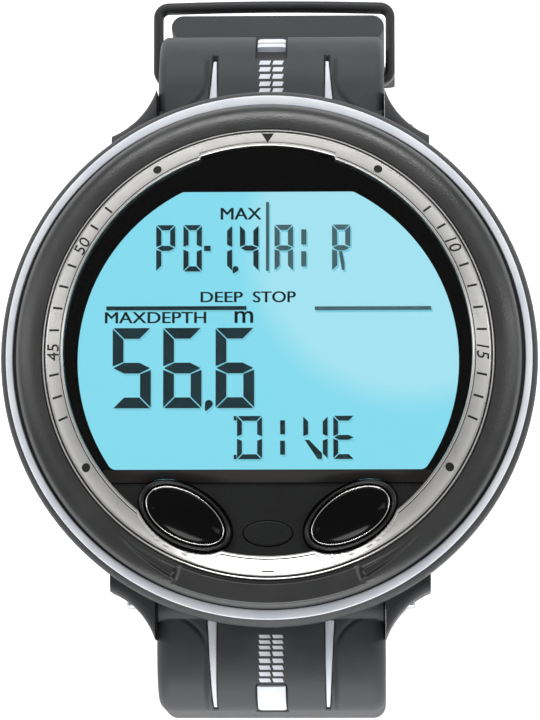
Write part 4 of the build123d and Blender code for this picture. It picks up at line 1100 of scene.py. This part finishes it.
dress(upper_band, strap_black, "upper_strap", "strap_rubber", "upper_strap")
dress(lower_band, strap_black, "lower_strap", "strap_rubber", "lower_strap")

# %% [markdown]
# ## Light rubber on the strap
# The slits, the blocks in the middle of each bend and the row of slanted ticks are a second, light
# rubber moulded into the black one. Each is a low strip that follows the same bent line.

# %% Strips that follow the band
def strip_on_band(points, radii, outward, start, end, edges, low, high, round_off=0.12):
    """Points and faces of strips between two edges, from start to end along the band. edges is a
    list of functions of distance that give the left and the right x. low and high are heights
    from the band's middle line."""
    places, headings, distance = bent_line(points, radii, 0.3)
    keep = np.clip(distance, start, end)
    y, z = np.interp(keep, distance, places[:, 0]), np.interp(keep, distance, places[:, 1])
    hy, hz = np.interp(keep, distance, headings[:, 0]), np.interp(keep, distance, headings[:, 1])
    used = (distance > start - 0.3) & (distance < end + 0.3)
    keep, y, z, hy, hz = keep[used], y[used], z[used], hy[used], hz[used]
    level = np.array([low, high - round_off, high, high, high - round_off, low])
    share = np.array([0, 0, round_off, 1 - round_off, 1, 1])
    made, faces = [], []
    for left, right in edges:
        a, b = left(keep)[:, None], right(keep)[:, None]
        x = a + (b - a) * share
        grid = np.stack([x, y[:, None] - hz[:, None] * outward * level,
                         z[:, None] + hy[:, None] * outward * level], -1)
        rows, columns = x.shape
        offset = len(made) * rows * columns
        faces += grid_faces(rows, columns, offset, close_columns=True)
        faces.append(list(range(offset, offset + columns)))
        faces.append(list(range(offset + (rows - 1) * columns, offset + rows * columns)))
        made.append(grid.reshape(-1, 3))
    return np.concatenate(made), faces


def slit_strips(slits):
    """Left and right edges of the two slit strips."""
    return [(lambda d: -slit_edges(d, *slits)[1], lambda d: -slit_edges(d, *slits)[0]),
            (lambda d: slit_edges(d, *slits)[0], lambda d: slit_edges(d, *slits)[1])]


def light_rubber(name, points, radii, outward, slits, block_runs, tick_run, ticks, body, node_name):
    """All light pieces of one strap in one mesh: slit strips, middle blocks, slanted ticks."""
    parts = [strip_on_band(points, radii, outward, *slits, slit_strips(slits), half_thick - 1.1,
                           half_thick - 0.12)]
    for block_run in block_runs:
        parts.append(strip_on_band(points, radii, outward, *block_run,
                                   [(lambda d: np.full_like(d, -block_half),
                                     lambda d: np.full_like(d, block_half))],
                                   half_thick - 1.2, half_thick - 0.25))
    pitch = (tick_run[1] - tick_run[0]) / ticks
    for index in range(ticks):
        near = tick_run[0] + pitch * index
        parts.append(strip_on_band(
            points, radii, outward, near, near + 0.62 * pitch,
            [(lambda d, n=near: -1.75 + 0.4 * (d - n), lambda d, n=near: -0.2 + 0.4 * (d - n)),
             (lambda d, n=near: 0.15 + 0.4 * (d - n), lambda d, n=near: 1.6 + 0.4 * (d - n))],
            half_thick - 0.2, half_thick + 0.015, 0.02))
    points_out, faces, offset = [], [], 0
    for places, part_faces in parts:
        points_out.append(places)
        faces += [[corner + offset for corner in face] for face in part_faces]
        offset += len(places)
    piece = finish_mesh(name, np.concatenate(points_out), faces, 40)
    return dress(piece, strap_white, body, "strap_light", node_name)


light_rubber("upper_light_rubber", upper_points, upper_bends, 1, upper_slits,
             [(12.0, 12.85), (13.2, 15.0)], (4.4, 9.7), 6, "upper_strap", "upper_strap_inlays")
light_rubber("lower_light_rubber", lower_points, lower_bends, -1, lower_slits, [(11.3, 19.2)],
             (4.6, 10.8), 8, "lower_strap", "lower_strap_inlays")

# %% [markdown]
# ## Keeper
# The keeper is a rounded loop of moulded nylon. Its middle line is a rounded rectangle with a
# slight bow, and a soft-cornered section is carried along it.

# %% Keeper loop
def keeper_loop(inset, z, bow=0.3, corner=2.1, count=60):
    """Rounded rectangle at height z, drawn in by inset, its outer bar bowed outwards."""
    half_x = keeper_high[0] - inset
    low_y, high_y = keeper_low[1] + inset, keeper_high[1] - inset
    radius = max(corner - inset, 0.6)
    turn = np.linspace(0, np.pi / 2, 12)
    side = np.linspace(-1, 1, count)
    top = np.stack([side * -(half_x - radius), np.full(count, high_y)], -1)
    bottom = np.stack([side * (half_x - radius), np.full(count, low_y)], -1)

    def quarter(cx, cy, start):
        return np.stack([cx + radius * np.cos(start + turn), cy + radius * np.sin(start + turn)], -1)

    loop = np.concatenate([bottom, quarter(half_x - radius, low_y + radius, -np.pi / 2),
                           quarter(half_x - radius, high_y - radius, 0), top,
                           quarter(-half_x + radius, high_y - radius, np.pi / 2),
                           quarter(-half_x + radius, low_y + radius, np.pi)])
    upper = loop[:, 1] > (low_y + high_y) / 2
    loop[:, 1] = loop[:, 1] + upper * bow * np.clip(1 - (loop[:, 0] / half_x) ** 2, 0, 1)
    return np.column_stack([loop, np.full(len(loop), z)])


wall, low_z, high_z, soft = 1.35, keeper_low[2], keeper_high[2], 0.45
profile = [(0, low_z + soft), (0, high_z - soft), (soft * 0.3, high_z - soft * 0.3), (soft, high_z),
           (wall - soft, high_z), (wall - soft * 0.3, high_z - soft * 0.3), (wall, high_z - soft),
           (wall, low_z + soft), (wall - soft * 0.3, low_z + soft * 0.3), (wall - soft, low_z),
           (soft, low_z), (soft * 0.3, low_z + soft * 0.3)]
sections = np.stack([keeper_loop(inset, z) for inset, z in profile])
dress(closed_loops("keeper_loop", sections, 50), keeper_black, "keeper", "strap_rubber",
      "strap_keeper")

# %% [markdown]
# ## Camera, floor and light
# The object is seen almost straight from the front, from about six degrees towards six o'clock.
# A long soft light stands past twelve o'clock, strips stand left and right, and a card past six
# o'clock whitens the lower steel ring. The floor glows a little, as a lit table does, so that the
# ground stays white without a hard shadow.

# %% Camera
from mathutils import Matrix, Vector

view_target = np.array([0.14, -0.42, 18.0])
view_distance, side_angle, tilt_angle = 600.0, math.radians(1.6), math.radians(6.0)
view_height = 100.4         # what the view's long side spans at the target, in millimetres
direction = np.array([math.sin(side_angle), -math.sin(tilt_angle), math.cos(tilt_angle)])
direction /= np.linalg.norm(direction)
camera_data = bpy.data.cameras.new("camera")
camera = bpy.data.objects.new("camera", camera_data)
bpy.context.scene.collection.objects.link(camera)
right = np.cross(-direction, (0.0, 1.0, 0.0))
right /= np.linalg.norm(right)
turned = Matrix(np.stack([right, np.cross(right, -direction), direction], 1).tolist()).to_4x4()
turned.translation = ((view_target + direction * view_distance) * 0.001).tolist()
camera.matrix_world = turned
camera_data.sensor_width = 36.0
camera_data.lens = camera_data.sensor_width * view_distance / view_height
camera_data.clip_start, camera_data.clip_end = 0.01, 20.0
bpy.context.scene.camera = camera
print("camera lens", round(camera_data.lens, 1), "mm")

# %% Floor, world and lights
floor_z = cad_box[0][2]
floor_mesh = bpy.data.meshes.new("floor")
floor_mesh.from_pydata([(-4, -4, floor_z), (4, -4, floor_z), (4, 4, floor_z), (-4, 4, floor_z)], [],
                       [(0, 1, 2, 3)])
floor = bpy.data.objects.new("floor", floor_mesh)
bpy.context.scene.collection.objects.link(floor)
floor_mesh.materials.append(finish("opal_light_table", "f4f4f4", 0.9, Emission_Strength=0.55,
                                   Emission_Color=linear("ffffff"))[0])

world = bpy.data.worlds.new("studio")
bpy.context.scene.world = world
world.use_nodes = True
world.node_tree.nodes["Background"].inputs["Color"].default_value = linear("ffffff")
world.node_tree.nodes["Background"].inputs["Strength"].default_value = 0.42
bpy.context.scene.view_settings.view_transform = "Standard"


def soft_light(name, place, aim, width, height, watts):
    """A rectangular area light at place (metres), turned towards aim."""
    data = bpy.data.lights.new(name, "AREA")
    data.shape, data.size, data.size_y, data.energy = "RECTANGLE", width, height, watts
    lamp = bpy.data.objects.new(name, data)
    bpy.context.scene.collection.objects.link(lamp)
    lamp.location = place
    heading = Vector(aim) - Vector(place)
    lamp.rotation_euler = heading.to_track_quat("-Z", "Y").to_euler()
    return lamp


soft_light("top_softbox", (0, 0.7, 0.62), (0, 0, 0), 0.9, 0.2, 5.0)
soft_light("left_strip", (-0.75, 0.15, 0.55), (0, 0, 0), 0.2, 0.9, 1.6)
soft_light("right_strip", (0.75, 0.15, 0.55), (0, 0, 0), 0.2, 0.9, 1.6)
soft_light("low_card", (0, -0.6, 0.1), (0, 0, 0.02), 0.55, 0.16, 2.2)
